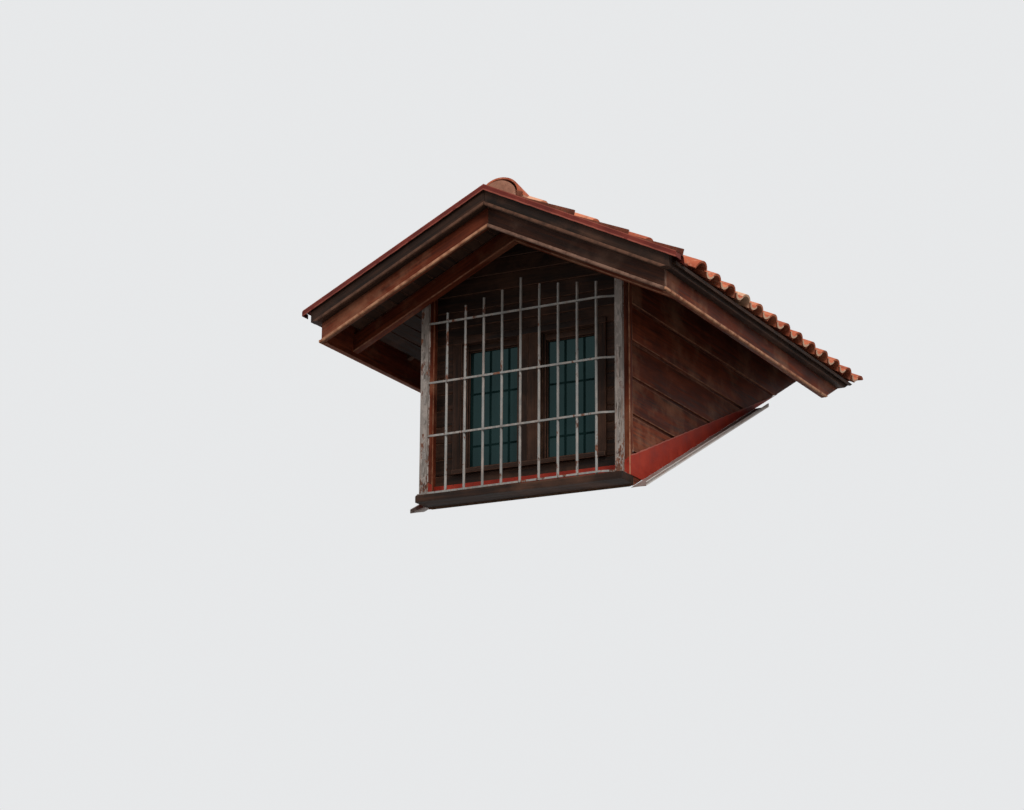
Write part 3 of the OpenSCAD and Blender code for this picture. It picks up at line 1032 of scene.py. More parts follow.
@dataclass
class GableTimbers:
    """Barge boards in two tiers, fascias, raking beams and boarded soffits of the deep eaves."""

    finishes: Finishes
    barge_y: float = -0.55
    barge_t: float = 0.025
    tier: float = 0.05
    lower_depth: float = 0.224
    upper_depth: float = 0.112
    upper_fascia: float = 0.031
    bead: float = 0.02
    bead_out: float = 0.014
    eave_half: float = 1.165
    fascia_foot: float = 0.992
    joint: float = 0.0012
    uncut: tuple[float, float] = (-0.2, 1.5)
    beam_y: tuple[float, float] = (-0.215, -0.15)
    beam_depth: float = 0.102
    deck_edge: float = 1.24
    deck_back: float = 3.7
    deck_boards: int = 10
    fascia_back: float = 2.7
    fascia_top: float = 1.4
    hair: float = 0.0003
    soffit: tuple[float, float] = (-ROOF.soffit, 0.0135 - ROOF.soffit)
    wall_half: float = 0.7

    @property
    def upper_foot(self) -> float:
        """Returns the height of the upper tier's level lower edge."""
        boards_top = ROOF.height(self.eave_half + self.tier)
        return boards_top - (ROOF.dip + ROOF.boards) / math.cos(ROOF.pitch) - self.upper_fascia

    def mitre(self) -> Cut:
        """Returns the plumb cut at the apex, with a hair's gap."""
        return Cut((self.joint, 0, 0), (-1, 0, 0))

    def end(self, x: float) -> Cut:
        """Returns the plumb cut at a board's lower end."""
        return Cut((x, 0, 0), (1, 0, 0))

    def lower_barge(self, side: Side) -> None:
        """Hangs the deep lower barge board with its bead.

        Args:
            side: The side it is on.
        """
        piece = Piece(f"lower_barge_{side.word}", 11 + side.value, side)
        # Painted highlight: the plumb ends and the bead are paled.
        placing = dict(place=ROOF.slope, cuts=(self.mitre(), self.end(self.eave_half)), end_highlight=1.6)
        piece.board((self.uncut[0], self.barge_y, -self.lower_depth),
                    (self.uncut[1], self.barge_y + self.barge_t, -ROOF.dip - ROOF.boards - self.hair),
                    ease=0.004, tone=0.62, **placing)
        piece.board((self.uncut[0], self.barge_y - self.bead_out, -self.lower_depth),
                    (self.uncut[1], self.barge_y, self.bead - self.lower_depth),
                    ease=0.006, segments=3, tone=0.8, bare=1.7, **placing)
        # The right board takes the darker finish: painted shade.
        barge_finish = self.finishes.boards if side is Side.LEFT else self.finishes.barge_shade_boards
        piece.finish(barge_finish, [f"{side.word}_lower_barge"])

    def upper_barge(self, side: Side) -> None:
        """Hangs the upper tier with its bead.

        Args:
            side: The side it is on.
        """
        piece = Piece(f"upper_barge_{side.word}", 21 + side.value, side)
        half = self.eave_half + self.tier
        level = Cut((0, 0, self.upper_foot), (0, 0, -1))
        placing = dict(place=ROOF.slope, cuts=(self.mitre(), self.end(half), level))
        front = self.barge_y - self.tier
        start, stop = self.uncut[0], self.uncut[1] + 0.1
        # Painted shade: the upper tier is toned low in the shaded finish; its bead is paled as painted
        # highlight.
        piece.board((start, front, -self.upper_depth), (stop, self.barge_y, -0.0002),
                    ease=0.004, tone=0.3, **placing)
        piece.board((start, front - self.bead_out, -self.upper_depth),
                    (stop, front, self.bead - self.upper_depth),
                    ease=0.006, segments=3, tone=0.8, bare=1.2, **placing)
        piece.finish(self.finishes.painted_shade_boards, [f"{side.word}_upper_barge"])

    def fascia(self, side: Side) -> None:
        """Hangs the eave's fascias and their bead.

        Args:
            side: The side they are on.
        """
        piece = Piece(f"eave_fascia_{side.word}", 31 + side.value, side)
        outer, back, top = self.eave_half, self.fascia_back, self.fascia_top
        cuts = (ROOF.under(ROOF.dip + ROOF.boards + self.hair), ROOF.main_roof(0.0005))
        piece.board((outer - self.barge_t, self.barge_y + self.barge_t, self.fascia_foot), (outer, back, top),
                    Along.Y, ease=0.004, cuts=cuts, tone=0.6)
        # Painted highlight: the bead is paled.
        piece.board((outer, self.barge_y - self.bead_out, self.fascia_foot),
                    (outer + self.bead_out, back, self.fascia_foot + self.bead), Along.Y,
                    ease=0.006, segments=3, cuts=cuts, tone=0.8, bare=1.7)
        piece.finish(self.finishes.boards, [f"{side.word}_fascia"])
        # The upper fascia takes the shaded finish: painted shade.
        upper = Piece(f"upper_fascia_{side.word}", 33 + side.value, side)
        upper.board((outer, self.barge_y, self.upper_foot), (outer + self.tier, back, top), Along.Y,
                    ease=0.004, cuts=cuts, tone=0.5)
        upper.finish(self.finishes.painted_shade_boards)

    def beam(self, side: Side) -> None:
        """Sets the raking beam under the soffit in front of the wall.

        Args:
            side: The side it is on.
        """
        piece = Piece(f"raking_beam_{side.word}", 41 + side.value, side)
        piece.board((self.uncut[0], self.beam_y[0], self.soffit[0] - self.beam_depth),
                    (self.uncut[1], self.beam_y[1], self.soffit[0]), ease=0.006, tone=0.6,
                    place=ROOF.slope, cuts=(self.mitre(), self.end(self.eave_half - self.barge_t)))
        piece.finish(self.finishes.boards, [f"{side.word}_beam"])

    def soffit_boards(self, side: Side) -> None:
        """Lines the underside of the eaves with boards along the ridge's direction.

        Args:
            side: The side they are on.
        """
        piece = Piece(f"soffit_boards_{side.word}", 51 + side.value, side)
        wall_u = self.wall_half / math.cos(ROOF.pitch)
        edge_u = (self.eave_half - self.barge_t) / math.cos(ROOF.pitch)
        front = self.barge_y + self.barge_t
        low, high = self.soffit
        cuts = (self.mitre(), self.end(self.eave_half - self.barge_t), ROOF.main_roof(0.001))
        for start, stop, count, back in ((0.0, wall_u, 8, 0.0), (wall_u, edge_u, 5, 2.6)):
            width = (stop - start) / count
            for index in range(count):
                u = start + index * width
                piece.board((u + 0.001, front, low), (u + width - 0.001, back, high), Along.Y,
                            ease=0.004, place=ROOF.slope, cuts=cuts)
        piece.finish(self.finishes.painted_shade_boards, [f"{side.word}_soffit"])

    def roof_boards(self, side: Side) -> None:
        """Lays the roof boards under the tiles, seen from inside.

        Args:
            side: The side they are on.
        """
        piece = Piece(f"roof_boards_{side.word}", 61 + side.value, side)
        # The outermost board at the eave takes the shaded finish: painted shade.
        eave = Piece(f"eave_board_{side.word}", 63 + side.value, side)
        count, edge = self.deck_boards, self.deck_edge
        width = edge / math.cos(ROOF.pitch) / count
        top = -ROOF.dip - 0.0005
        for index in range(count):
            u, last = index * width, index == count - 1
            outer = u + width + (0.1 if last else -0.001)
            (eave if last else piece).board(
                (u + 0.001, self.barge_y, -ROOF.dip - ROOF.boards), (outer, self.deck_back, top),
                Along.Y, ease=0.003, place=ROOF.slope,
                cuts=(self.mitre(), self.end(edge), ROOF.main_roof(0.001)))
        piece.finish(self.finishes.inner_boards, [f"{side.word}_deck"])
        eave.finish(self.finishes.painted_shade_boards)

    def build(self) -> None:
        """Builds both sides."""
        for side in Side:
            self.lower_barge(side)
            self.upper_barge(side)
            self.fascia(side)
            self.beam(side)
            self.soffit_boards(side)
            self.roof_boards(side)


@dataclass
class Walls:
    """Boarded front and cheek walls with proud corner boards."""

    finishes: Finishes
    stud_half: float = 0.678
    wall_half: float = 0.7
    board_t: float = 0.022
    course: float = 0.105
    first: float = 0.1
    cheek_course: float = 0.231
    cheek_first: float = -0.014
    lip: float = 0.007
    rebate: float = 0.016
    tongue: float = 0.008
    tongue_in: float = 0.008
    cheek_top: float = 1.36
    board_run: tuple[float, float] = (0.0005, 2.8)
    corner_low: Point = (0.65, -0.045, 0.06)
    corner_high: Point = (0.7, 0, 1.6)
    arris_low: Point = (0.693, -0.0452, 0.062)
    arris_high: Point = (0.7002, -0.038, 1.6)
    opening_x: tuple[float, float] = (0.075, 0.467)
    opening_z: tuple[float, float] = (0.230, 1.038)

    def holes(self) -> list[tuple[float, float, float, float]]:
        """Returns both window openings as left, right, bottom and top."""
        near, far = self.opening_x
        return [(-far, -near, *self.opening_z), (near, far, *self.opening_z)]

    def notched(self, low: float, high: float) -> tuple[bmesh.types.BMesh, list[bmesh.types.BMFace]]:
        """Saws one front board to length round the window openings.

        Args:
            low: Its lower edge.
            high: Its upper edge.

        Returns:
            The board, and its eased arrises.
        """
        board = bmesh.new()
        bmesh.ops.create_grid(board, x_segments=1, y_segments=1, size=0.5)
        size = Matrix.Diagonal((2 * self.stud_half, high - low, 1, 1))
        upright = Matrix.Rotation(math.pi / 2, 4, "X")
        bmesh.ops.transform(board, matrix=Matrix.Translation((0, 0, (low + high) / 2)) @ upright @ size,
                            verts=board.verts[:])
        for left, right, bottom, top in self.holes():
            for point, normal in (((left, 0, 0), (1, 0, 0)), ((right, 0, 0), (1, 0, 0)),
                                  ((0, 0, bottom), (0, 0, 1)), ((0, 0, top), (0, 0, 1))):
                bmesh.ops.bisect_plane(board, geom=[*board.verts, *board.edges, *board.faces], dist=1e-6,
                                       plane_co=point, plane_no=normal)
            inside = [f for f in board.faces if left < f.calc_center_median().x < right
                      and bottom < f.calc_center_median().z < top]
            bmesh.ops.delete(board, geom=inside, context="FACES")
        back = bmesh.ops.extrude_face_region(board, geom=board.faces[:], use_keep_orig=True)["geom"]
        bmesh.ops.translate(board, vec=(0, self.board_t, 0),
                            verts=[v for v in back if isinstance(v, bmesh.types.BMVert)])
        front = [e for e in board.edges if all(abs(v.co.y) < 1e-6 for v in e.verts)
                 and e.calc_face_angle(0) > 1]
        return board, Piece.bevel(board, front, 0.005)

    def front(self) -> None:
        """Boards the front wall."""
        piece = Piece("front_boards", 3)
        under = (ROOF.under(ROOF.soffit), ROOF.under(ROOF.soffit, -1))
        low = self.first
        while low < ROOF.ridge - 0.12:
            board, worn_and_highlit = self.notched(low + 0.0006, low + self.course - 0.0006)
            piece.add(board, cuts=under, worn_and_highlit=worn_and_highlit)
            low += self.course
        piece.finish(self.finishes.painted_shade_boards, ["front_cladding"])

    def cheek(self, side: Side) -> None:
        """Laps wide boards over a cheek wall.

        Args:
            side: The side it is on.
        """
        piece = Piece(f"cheek_boards_{side.word}", 71 + side.value, side)

        def thin(vertex: bmesh.types.BMVert) -> None:
            """Thins a board towards its upper edge."""
            if vertex.co.x > self.wall_half - 0.002 and vertex.co.z > middle:
                vertex.co.x -= self.lip

        trimmed = (ROOF.under(ROOF.soffit), ROOF.main_roof(0.003))
        front, back = self.board_run
        low = self.cheek_first
        while low < self.cheek_top:
            high = low + self.cheek_course
            middle, shoulder = (low + high) / 2, high - self.rebate
            piece.board((self.stud_half, front, low), (self.wall_half, back, shoulder), Along.Y,
                        ease=0.005, segments=2, taper=thin, cuts=trimmed)
            # The recessed tongues are toned darkest: painted shade in the laps' grooves.
            piece.board((self.stud_half, front, shoulder - self.tongue_in),
                        (self.stud_half + self.tongue, back, high + 0.004), Along.Y,
                        ease=0, cuts=trimmed, tone=0.0)
            low = high
        piece.finish(self.finishes.boards, [f"{side.word}_cladding"])

    def corner(self, side: Side) -> None:
        """Stands the proud corner board up, with its front arris painted pale as a highlight.

        Args:
            side: The side it is on.
        """
        piece = Piece(f"corner_board_{side.word}", 81 + side.value, side)
        trimmed = (ROOF.under(ROOF.soffit),)
        piece.board(self.corner_low, self.corner_high, Along.Z, ease=0.004, segments=2, cuts=trimmed,
                    tone=0.75)
        # Painted highlight: the front arris strip is paled.
        piece.board(self.arris_low, self.arris_high, Along.Z, ease=0.0015, cuts=trimmed, tone=0.9, bare=1.8)
        piece.finish(self.finishes.boards, [f"{side.word}_corner_board"])

    def build(self) -> None:
        """Builds the walls' outer skins."""
        self.front()
        for side in Side:
            self.cheek(side)
            self.corner(side)


@dataclass
class Windows:
    """Frames with glazing beads and panes, and the casing boards round both windows."""

    finishes: Finishes
    walls: Walls
    stiles: tuple[float, float] = (0.024, 0.021)
    rails: tuple[float, float] = (0.018, 0.042)
    frame_y: tuple[float, float] = (0.026, 0.09)
    pane_y: tuple[float, float] = (0.056, 0.06)
    bead: float = 0.006
    casing: float = 0.018
    outer: float = 0.527
    foot: float = 0.2
    head: float = 1.083

    def window(self, side: Side) -> None:
        """Joins one frame and its beads, and glazes it.

        Args:
            side: The side it is on.
        """
        piece = Piece(f"window_frame_{side.word}", 91 + side.value, side)
        near, far = self.walls.opening_x
        low, high = self.walls.opening_z
        front, back = self.frame_y
        left, right = near + self.stiles[0], far - self.stiles[1]
        foot, head = low + self.rails[0], high - self.rails[1]
        for start, stop in ((near, left), (right, far)):
            piece.board((start, front, low), (stop, back, high), Along.Z, ease=0.004, segments=2)
        for start, stop in ((low, foot), (head, high)):
            piece.board((left, front + 0.002, start), (right, back, stop), Along.X, ease=0.004, segments=2)
        glass = self.pane_y[0]
        for x in (left, right - self.bead):
            piece.board((x, glass - 0.012, foot), (x + self.bead, glass - 0.0005, head), Along.Z, ease=0.002)
        for z in (foot, head - self.bead):
            piece.board((left + self.bead, glass - 0.012, z),
                        (right - self.bead, glass - 0.0005, z + self.bead), Along.X, ease=0.002)
        piece.finish(self.finishes.painted_shade_boards, [f"{side.word}_window"])
        pane = Piece(f"pane_{side.word}", 95 + side.value, side)
        pane.board((left - 0.0005, glass, foot - 0.0005), (right + 0.0005, self.pane_y[1], head + 0.0005),
                   Along.Z, ease=0.0005)
        pane.finish(self.finishes.glass, [f"{side.word}_pane"])

    def surround(self) -> None:
        """Cases both windows, with a boarded panel between them."""
        piece = Piece("window_casing", 9)
        near, far = self.walls.opening_x
        low, high = self.walls.opening_z
        for sign in (1, -1):
            xs = sorted((sign * far, sign * self.outer))
            # Painted highlight: the outer casing boards are toned lightest.
            piece.board((xs[0], -self.casing, low), (xs[1], 0, high), Along.Z, ease=0.003, segments=2,
                        tone=0.95)
            xs = sorted((sign * 0.0008, sign * near))
            piece.board((xs[0], -self.casing, low), (xs[1], 0, high), Along.Z, ease=0.003, segments=2)
        piece.board((-self.outer, -self.casing, high + 0.0005), (self.outer, 0, self.head), Along.X,
                    ease=0.003, segments=2)
        piece.board((-self.outer, -self.casing - 0.012, self.foot), (self.outer, 0, low - 0.0005), Along.X,
                    ease=0.004, segments=2, tone=0.9)
        piece.finish(self.finishes.painted_shade_boards, ["window_surround"])

    def build(self) -> None:
        """Builds the windows."""
        for side in Side:
            self.window(side)
        self.surround()


@dataclass
class Flashings:
    """Red sheet over the verges and against the cheeks with its nails, and the zinc gutters."""

    finishes: Finishes
    strip_y: float = -0.62
    strip_w: float = 0.11
    drop: float = 0.029
    strip_half: float = 1.27
    strip_columns: int = 60
    sheet: float = 0.0015
    upstand: float = 0.157
    upstand_slope: float = 0.413
    cheek_start: float = 0.651
    cheek_x: float = 0.7015
    cheek_y: float = -0.0465
    cheek_foot: float = 0.062
    cheek_bow: float = 0.0012
    cheek_turn: float = 0.05
    cheek_back: float = 2.31
    cheek_columns: int = 120
    cheek_rows: tuple[float, ...] = (0, 0.2, 0.4, 0.6, 0.8, 0.95, 1)
    nail_count: int = 12
    nail_gap: float = 0.185
    nail_x: float = 0.7016
    lump: tuple[float, float, float] = (-0.012, -0.018, 0.014)
    gutter_front: float = -0.0445
    gutter_run: float = 1.948
    gutter_columns: int = 40

    def verge(self, side: Side) -> None:
        """Folds the strip over the rake.

        Args:
            side: The side it is on.
        """
        piece = Piece(f"verge_sheet_{side.word}", 101 + side.value, side)
        columns = self.strip_columns
        waves = [piece.random.uniform(-0.0012, 0.0012) for _ in range(columns + 1)]
        length = self.strip_half / math.cos(ROOF.pitch)
        front = self.strip_y + 0.0045

        def fold(s: float, t: float) -> Point:
            """Comes up from under the tiles, rolls over the front edge and kicks out at its drip.

            Args:
                s: The share of the strip's length.
                t: The share of its width.

            Returns:
                The place in the slope's coordinates.
            """
            u, wave = -0.05 + s * (length + 0.06), waves[round(s * columns)]
            back = self.strip_y + self.strip_w
            lines = ((back + 0.075, 0.004 - ROOF.dip), (back + 0.014, 0.004 - ROOF.dip), (back, 0.0018),
                     (front + 0.012, 0.002), (front + 0.007, 0.0046), (front + 0.001, 0.0046),
                     (front, 0.0005), (front, 0.009 - self.drop + wave),
                     (front - 0.0028, 0.002 - self.drop + wave),
                     (front - 0.001, 0.0012 - self.drop + wave))
            v, w = lines[round(t * 9)]
            return u, v, w

        # Painted highlight on the roll and on the drip.
        def highlit_face(middle: Vector) -> bool:
            """Tells whether a face lies on the roll or on the drip."""
            return middle.y < front + 0.012 and not 0.006 - self.drop < middle.z < 0.001

        piece.sheet(fold, (columns, 9), self.sheet, highlit_face, place=ROOF.slope,
                    cuts=(Cut((0.0, 0, 0), (-1, 0, 0)), Cut((self.strip_half - 0.002, 0, 0), (1, 0, 0))))
        foot = ROOF.height(self.strip_half)
        piece.board((self.strip_half - 0.003, self.strip_y + 0.001, foot - self.drop),
                    (self.strip_half - 0.0005, self.strip_y + 0.07, foot + 0.001), Along.Y, ease=0.0005)
        piece.finish(self.finishes.shaded_red, [f"{side.word}_verge_strip"])

    def cheek(self, side: Side) -> None:
        """Bends the sheet round the corner and along the cheek.

        Args:
            side: The side it is on.
        """
        piece = Piece(f"cheek_sheet_{side.word}", 111 + side.value, side)
        turn, columns, rows = self.cheek_turn, self.cheek_columns, self.cheek_rows
        waves = [piece.random.uniform(-0.002, 0.002) for _ in range(columns + 1)]
        total = turn + self.cheek_back - self.cheek_y

        def bend(s: float, t: float) -> Point:
            """Goes across the corner board's face, round the corner and back along the cheek.

            Args:
                s: The share of the sheet's length.
                t: The share of its height.

            Returns:
                The place.
            """
            run = s * total
            x = min(self.cheek_start + run, self.cheek_x)
            y = self.cheek_y + max(0.0, run - 0.0505)
            foot = max(self.cheek_foot, ROOF.main_height(y) + 0.003)
            top = 0.145 + 0.03 * (run / turn) if run < turn else self.upstand + self.upstand_slope * (y + 0.1)
            wave = waves[round(s * columns)] * t
            share = rows[round(t * (len(rows) - 1))]
            bow = self.cheek_bow * share if run > turn else 0
            return x + bow, y, foot + share * max(0.002, top + wave - foot)

        # Painted highlight along the hem.
        def hem(middle: Vector) -> bool:
            """Tells whether a face lies in the hem along the top."""
            return middle.x > 0.7 and middle.z > self.upstand + self.upstand_slope * (middle.y + 0.1) - 0.0075

        piece.sheet(bend, (columns, len(rows) - 1), -self.sheet, hem)
        piece.finish(self.finishes.red, [f"{side.word}_side_flashing"])

    def nails(self, side: Side) -> None:
        """Sets rusted nails along the sheet's top, heads just behind its face, and a lump at the corner.

        Args:
            side: The side it is on.
        """
        piece = Piece(f"sheet_nails_{side.word}", 141 + side.value, side)
        for index in range(self.nail_count):
            y = 0.012 + index * self.nail_gap + piece.random.uniform(-0.008, 0.02)
            drop, radius = piece.random.uniform(0.014, 0.022), piece.random.uniform(0.006, 0.009)
            if index == 0:
                y, drop, radius = self.lump
            nail = bmesh.new()
            bmesh.ops.create_icosphere(nail, subdivisions=2, radius=radius)
            bmesh.ops.scale(nail, vec=(0.2, 1, 0.8), verts=nail.verts[:])
            for vertex in nail.verts:
                vertex.co *= piece.random.uniform(0.8, 1.1)
            height = self.upstand + self.upstand_slope * (y + 0.1) - drop
            piece.add(nail, place=Matrix.Translation((self.nail_x, y, height)))
        piece.finish(self.finishes.rust)

    def gutter(self, side: Side) -> None:
        """Folds the zinc gutter that lies on the main roof beside the cheek.

        Args:
            side: The side it is on.
        """
        piece = Piece(f"gutter_sheet_{side.word}", 131 + side.value, side)
        lines = ((0.7045, 0.0018), (0.75, 0.003), (0.798, 0.0018), (0.8042, 0.003), (0.8042, 0.012),
                 (0.8042, 0.026), (0.8015, 0.0295), (0.798, 0.026))
        columns = self.gutter_columns
        waves = [piece.random.uniform(-0.001, 0.001) for _ in range(columns + 1)]

        def fold(s: float, t: float) -> Point:
            """Runs up the roof and turns up into a lip with a rolled rim.

            Args:
                s: The share of the gutter's length.
                t: The share of its width.

            Returns:
                The place.
            """
            y = self.gutter_front + s * self.gutter_run
            x, rise = lines[round(t * (len(lines) - 1))]
            return x, y, ROOF.main_height(y) + rise + (waves[round(s * columns)] if rise > 0.02 else 0)

        # Painted reflection: the rim and the foot of the lip are paled.
        def bright(middle: Vector) -> bool:
            """Tells whether a face lies on the rim or low on the lip."""
            rise = middle.z - ROOF.main_height(middle.y)
            return rise > 0.025 or (middle.x > 0.803 and rise < 0.012)

        piece.sheet(fold, (columns, len(lines) - 1), self.sheet, bright)
        piece.finish(self.finishes.zinc, [f"{side.word}_gutter"])

    def build(self) -> None:
        """Builds both sides."""
        for side in Side:
            self.verge(side)
            self.cheek(side)
            self.nails(side)
            self.gutter(side)


@dataclass
class Grille:
    """Weld beads where the bars cross the rails; bars, rails and posts themselves are the CAD's."""

    finishes: Finishes
    side_bars: int = 4
    gap: float = 0.13
    rail_z: float = 0.075
    rail_gap: float = 0.362
    rails: int = 4
    slipped: int = 2
    slip: float = 0.022
    post_y: float = -0.12
    turn: float = math.radians(1.2)
    weld_radius: float = 0.0042
    weld_half: float = 0.0085

    def build(self) -> None:
        """Adds the weld beads."""
        piece = Piece("weld_beads", 13)
        for row in range(self.rails):
            for place in range(-self.side_bars, self.side_bars + 1):
                x = place * self.gap
                for shift in (-self.weld_half, self.weld_half):
                    bead = bmesh.new()
                    bmesh.ops.create_icosphere(bead, subdivisions=2, radius=self.weld_radius)
                    bmesh.ops.scale(bead, vec=(0.8, 0.8, 1.5), verts=bead.verts[:])
                    y = self.post_y - x * math.sin(self.turn) - 0.008
                    z = self.rail_z + row * self.rail_gap - (self.slip if row == self.slipped else 0.0)
                    piece.add(bead, place=Matrix.Translation((x + shift * 0.8, y, z)))
        piece.finish(self.finishes.bars, sharp=80)


class Face(Enum):
    """A face of a grille post."""

    FRONT = "front"
    INNER = "inner"


@dataclass
class Flakes:
    """Curled flakes of old paint and rust that stand off the grille's posts."""

    finishes: Finishes
    post_x: float = 0.668
    post_y: float = -0.12
    half_x: float = 0.025
    half_y: float = 0.0125
    count: int = 64

    def flake(self, piece: Piece, across: float, z: float, face: Face, sign: int) -> None:
        """Hangs one flake on a post.

        Args:
            piece: The piece it belongs to.
            across: Where it sits across the face, from the post's middle.
            z: Its height.
            face: The face that it hangs on.
            sign: 1 for the right post, -1 for the left one.
        """
        draw = piece.random
        wide, tall, curl = draw.uniform(0.014, 0.026), draw.uniform(0.025, 0.07), draw.uniform(0.003, 0.011)
        chips = [draw.uniform(-0.13, 0.13) for _ in range(25)]
        stand = -1 if face is Face.FRONT else -sign

        def shape(s: float, t: float) -> Point:
            """Lies along the face and lifts off it towards one edge.

            Args:
                s: The share of the flake's width.
                t: The share of its height.

            Returns:
                The place.
            """
            ragged = chips[round(s * 4) * 5 + round(t * 4)]
            run = ((s - 0.5) * 0.85 + ragged * (t - 0.5)) * wide
            off = 0.0008 + curl * max(0.0, s - 0.25) ** 2
            height = z + ((t - 0.5) * 0.85 + ragged * (s - 0.5)) * tall
            middle = sign * self.post_x
            if face is Face.FRONT:
                return middle + across + run, self.post_y + stand * (self.half_y + off), height
            return middle + stand * (self.half_x + off), self.post_y + 0.4 * (across + run), height

        piece.sheet(shape, (4, 4), 0.0012, tone=draw.random())

    def build(self) -> None:
        """Covers both posts, the right one's lower half most of all."""
        for sign, name, seed in ((-1, "left", 131), (1, "right", 137)):
            piece = Piece(f"paint_flakes_{name}", seed)
            for index in range(self.count):
                low = sign > 0 and index % 4
                z = piece.random.uniform(0.04, 0.6 if low else 1.1)
                face = Face.INNER if index % 2 else Face.FRONT
                self.flake(piece, piece.random.uniform(-0.012, 0.012), z, face, sign)
            piece.finish(self.finishes.posts, sharp=50)


@dataclass
class Dressing:
    """Finishes for the CAD nodes that show as they are."""

    finishes: Finishes

    def build(self, nodes: dict[str, bpy.types.Object]) -> None:
        """Gives each node its finish.

        Args:
            nodes: The CAD nodes by name.
        """
        kit = self.finishes
        plan = {
            "sole_plates": kit.sawn_y, "valley_boards": kit.sawn_slope, "front_wall": kit.sawn_x,
            "left_cheek": kit.sawn_y, "right_cheek": kit.sawn_y, "rafters": kit.sawn_slope,
            "ridge_board": kit.sawn_y, "sill_beam": kit.sill, "front_flashing": kit.red,
            "left_grille_post": kit.posts, "right_grille_post": kit.posts, "grille": kit.bars,
        }
        for name, material in plan.items():
            materials = nodes[name].data.materials
            if materials:
                for index in range(len(materials)):
                    materials[index] = material
            else:
                materials.append(material)
            log.info("%s: dressed", name)


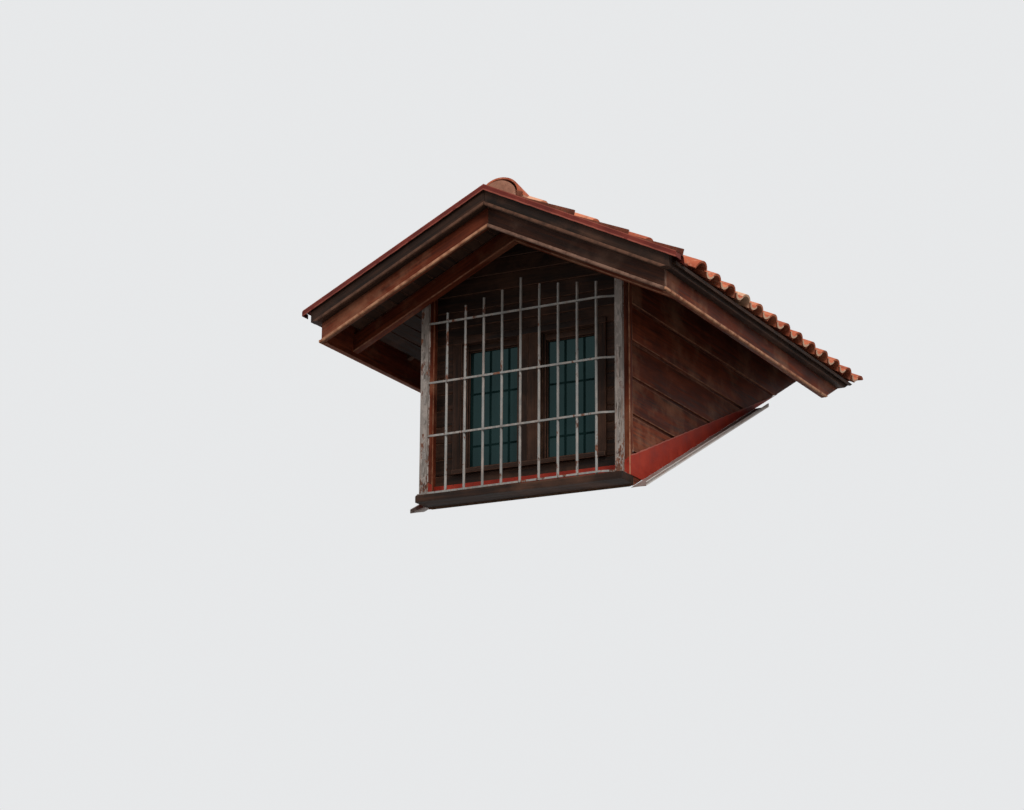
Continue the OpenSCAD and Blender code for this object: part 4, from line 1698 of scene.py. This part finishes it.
@dataclass
class Studio:
    """Camera, soft lamps, pale world and floor."""

    lens: float = 90.455
    yaw: float = math.radians(27.9013)
    pitch: float = math.radians(15.6626)
    roll: float = math.radians(-0.3829)
    place: Point = (7.0008, -13.4478, -3.6642)
    floor_z: float = -4.4
    pale: Colour = (0.80, 0.81, 0.82)
    bounce: Colour = (0.3, 0.29, 0.28)
    glow: float = 0.55

    def camera(self) -> None:
        """Stands the camera where the photograph was taken from."""
        ahead = Vector((-math.sin(self.yaw) * math.cos(self.pitch), math.cos(self.yaw) * math.cos(self.pitch),
                        math.sin(self.pitch)))
        right = Vector((math.cos(self.yaw), math.sin(self.yaw), 0))
        up = right.cross(ahead)
        across = right * math.cos(self.roll) - up * math.sin(self.roll)
        upward = right * math.sin(self.roll) + up * math.cos(self.roll)
        data = bpy.data.cameras.new("camera")
        data.lens = self.lens
        data.sensor_width = 36
        data.sensor_fit = "HORIZONTAL"
        data.clip_end = 200
        camera = bpy.data.objects.new("camera", data)
        turn = Matrix((across, upward, -ahead)).transposed().to_4x4()
        camera.matrix_world = Matrix.Translation(self.place) @ turn
        bpy.context.scene.collection.objects.link(camera)
        bpy.context.scene.camera = camera

    def lamp(self, name: str, place: Point, target: Point, size: float, power: float) -> None:
        """Hangs a square soft lamp.

        Args:
            name: Its name.
            place: Where it hangs.
            target: What it points at.
            size: Its width.
            power: Its power in watts.
        """
        data = bpy.data.lights.new(name, "AREA")
        data.size = size
        data.energy = power
        lamp = bpy.data.objects.new(name, data)
        aim = (Vector(target) - Vector(place)).to_track_quat("-Z", "Y")
        lamp.matrix_world = Matrix.Translation(place) @ aim.to_matrix().to_4x4()
        bpy.context.scene.collection.objects.link(lamp)

    def seen(self, tree: bpy.types.NodeTree) -> bpy.types.NodeSocket:
        """Tells which rays show the background itself: camera, mirror and glass rays.

        Args:
            tree: The node tree that asks.

        Returns:
            1 for those rays, 0 for others.
        """
        path = tree.nodes.new("ShaderNodeLightPath")
        share = path.outputs["Is Camera Ray"]
        for name in ("Is Glossy Ray", "Is Transmission Ray"):
            larger = tree.nodes.new("ShaderNodeMath")
            larger.operation = "MAXIMUM"
            tree.links.new(share, larger.inputs[0])
            tree.links.new(path.outputs[name], larger.inputs[1])
            share = larger.outputs[0]
        return share

    def world(self) -> None:
        """Makes a pale background, and a softer light from it."""
        world = bpy.data.worlds.new("studio")
        bpy.context.scene.world = world
        world.use_nodes = True
        tree = world.node_tree
        tree.nodes.clear()
        light, shown = tree.nodes.new("ShaderNodeBackground"), tree.nodes.new("ShaderNodeBackground")
        light.inputs["Color"].default_value = (1.0, 1.0, 1.0, 1)
        light.inputs["Strength"].default_value = self.glow
        shown.inputs["Color"].default_value = (*self.pale, 1)
        mix = tree.nodes.new("ShaderNodeMixShader")
        output = tree.nodes.new("ShaderNodeOutputWorld")
        tree.links.new(self.seen(tree), mix.inputs[0])
        tree.links.new(light.outputs[0], mix.inputs[1])
        tree.links.new(shown.outputs[0], mix.inputs[2])
        tree.links.new(mix.outputs[0], output.inputs["Surface"])

    def floor(self) -> None:
        """Lays a plain pale floor far below, since the dormer is seen from underneath."""
        ground = bmesh.new()
        bmesh.ops.create_grid(ground, x_segments=1, y_segments=1, size=60)
        bmesh.ops.translate(ground, vec=(0, 0, self.floor_z), verts=ground.verts[:])
        mesh = bpy.data.meshes.new("floor")
        ground.to_mesh(mesh)
        ground.free()
        material = bpy.data.materials.new("pale_floor")
        material.use_nodes = True
        tree = material.node_tree
        tree.nodes.clear()
        low, pale = tree.nodes.new("ShaderNodeBsdfDiffuse"), tree.nodes.new("ShaderNodeBsdfDiffuse")
        low.inputs["Color"].default_value = (*self.bounce, 1)
        pale.inputs["Color"].default_value = (*self.pale, 1)
        mix = tree.nodes.new("ShaderNodeMixShader")
        output = tree.nodes.new("ShaderNodeOutputMaterial")
        tree.links.new(self.seen(tree), mix.inputs[0])
        tree.links.new(low.outputs[0], mix.inputs[1])
        tree.links.new(pale.outputs[0], mix.inputs[2])
        tree.links.new(mix.outputs[0], output.inputs["Surface"])
        mesh.materials.append(material)
        floor = bpy.data.objects.new("floor", mesh)
        bpy.context.scene.collection.objects.link(floor)

    def build(self) -> None:
        """Builds the studio."""
        self.camera()
        self.world()
        self.floor()
        self.lamp("key_lamp", place=(6.5, -6.0, 7.5), target=(0, 0.6, 0.9), size=4.0, power=1150)
        self.lamp("fill_lamp", place=(-9.0, -3.0, 1.0), target=(0, 0.4, 0.9), size=5.0, power=300)
        bpy.context.scene.view_settings.view_transform = "Standard"


def main() -> None:
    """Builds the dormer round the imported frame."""
    logging.basicConfig(level=logging.INFO, format="%(name)s %(message)s")
    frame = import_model()
    finishes = Finishes()
    walls = Walls(finishes)
    Dressing(finishes).build(frame["nodes"])
    for assembly in (walls, Windows(finishes, walls), GableTimbers(finishes), TileRoof(finishes),
                     Flashings(finishes), Grille(finishes), Flakes(finishes), Studio()):
        log.info("building %s", type(assembly).__name__)
        assembly.build()


if __name__ == "__main__":
    main()
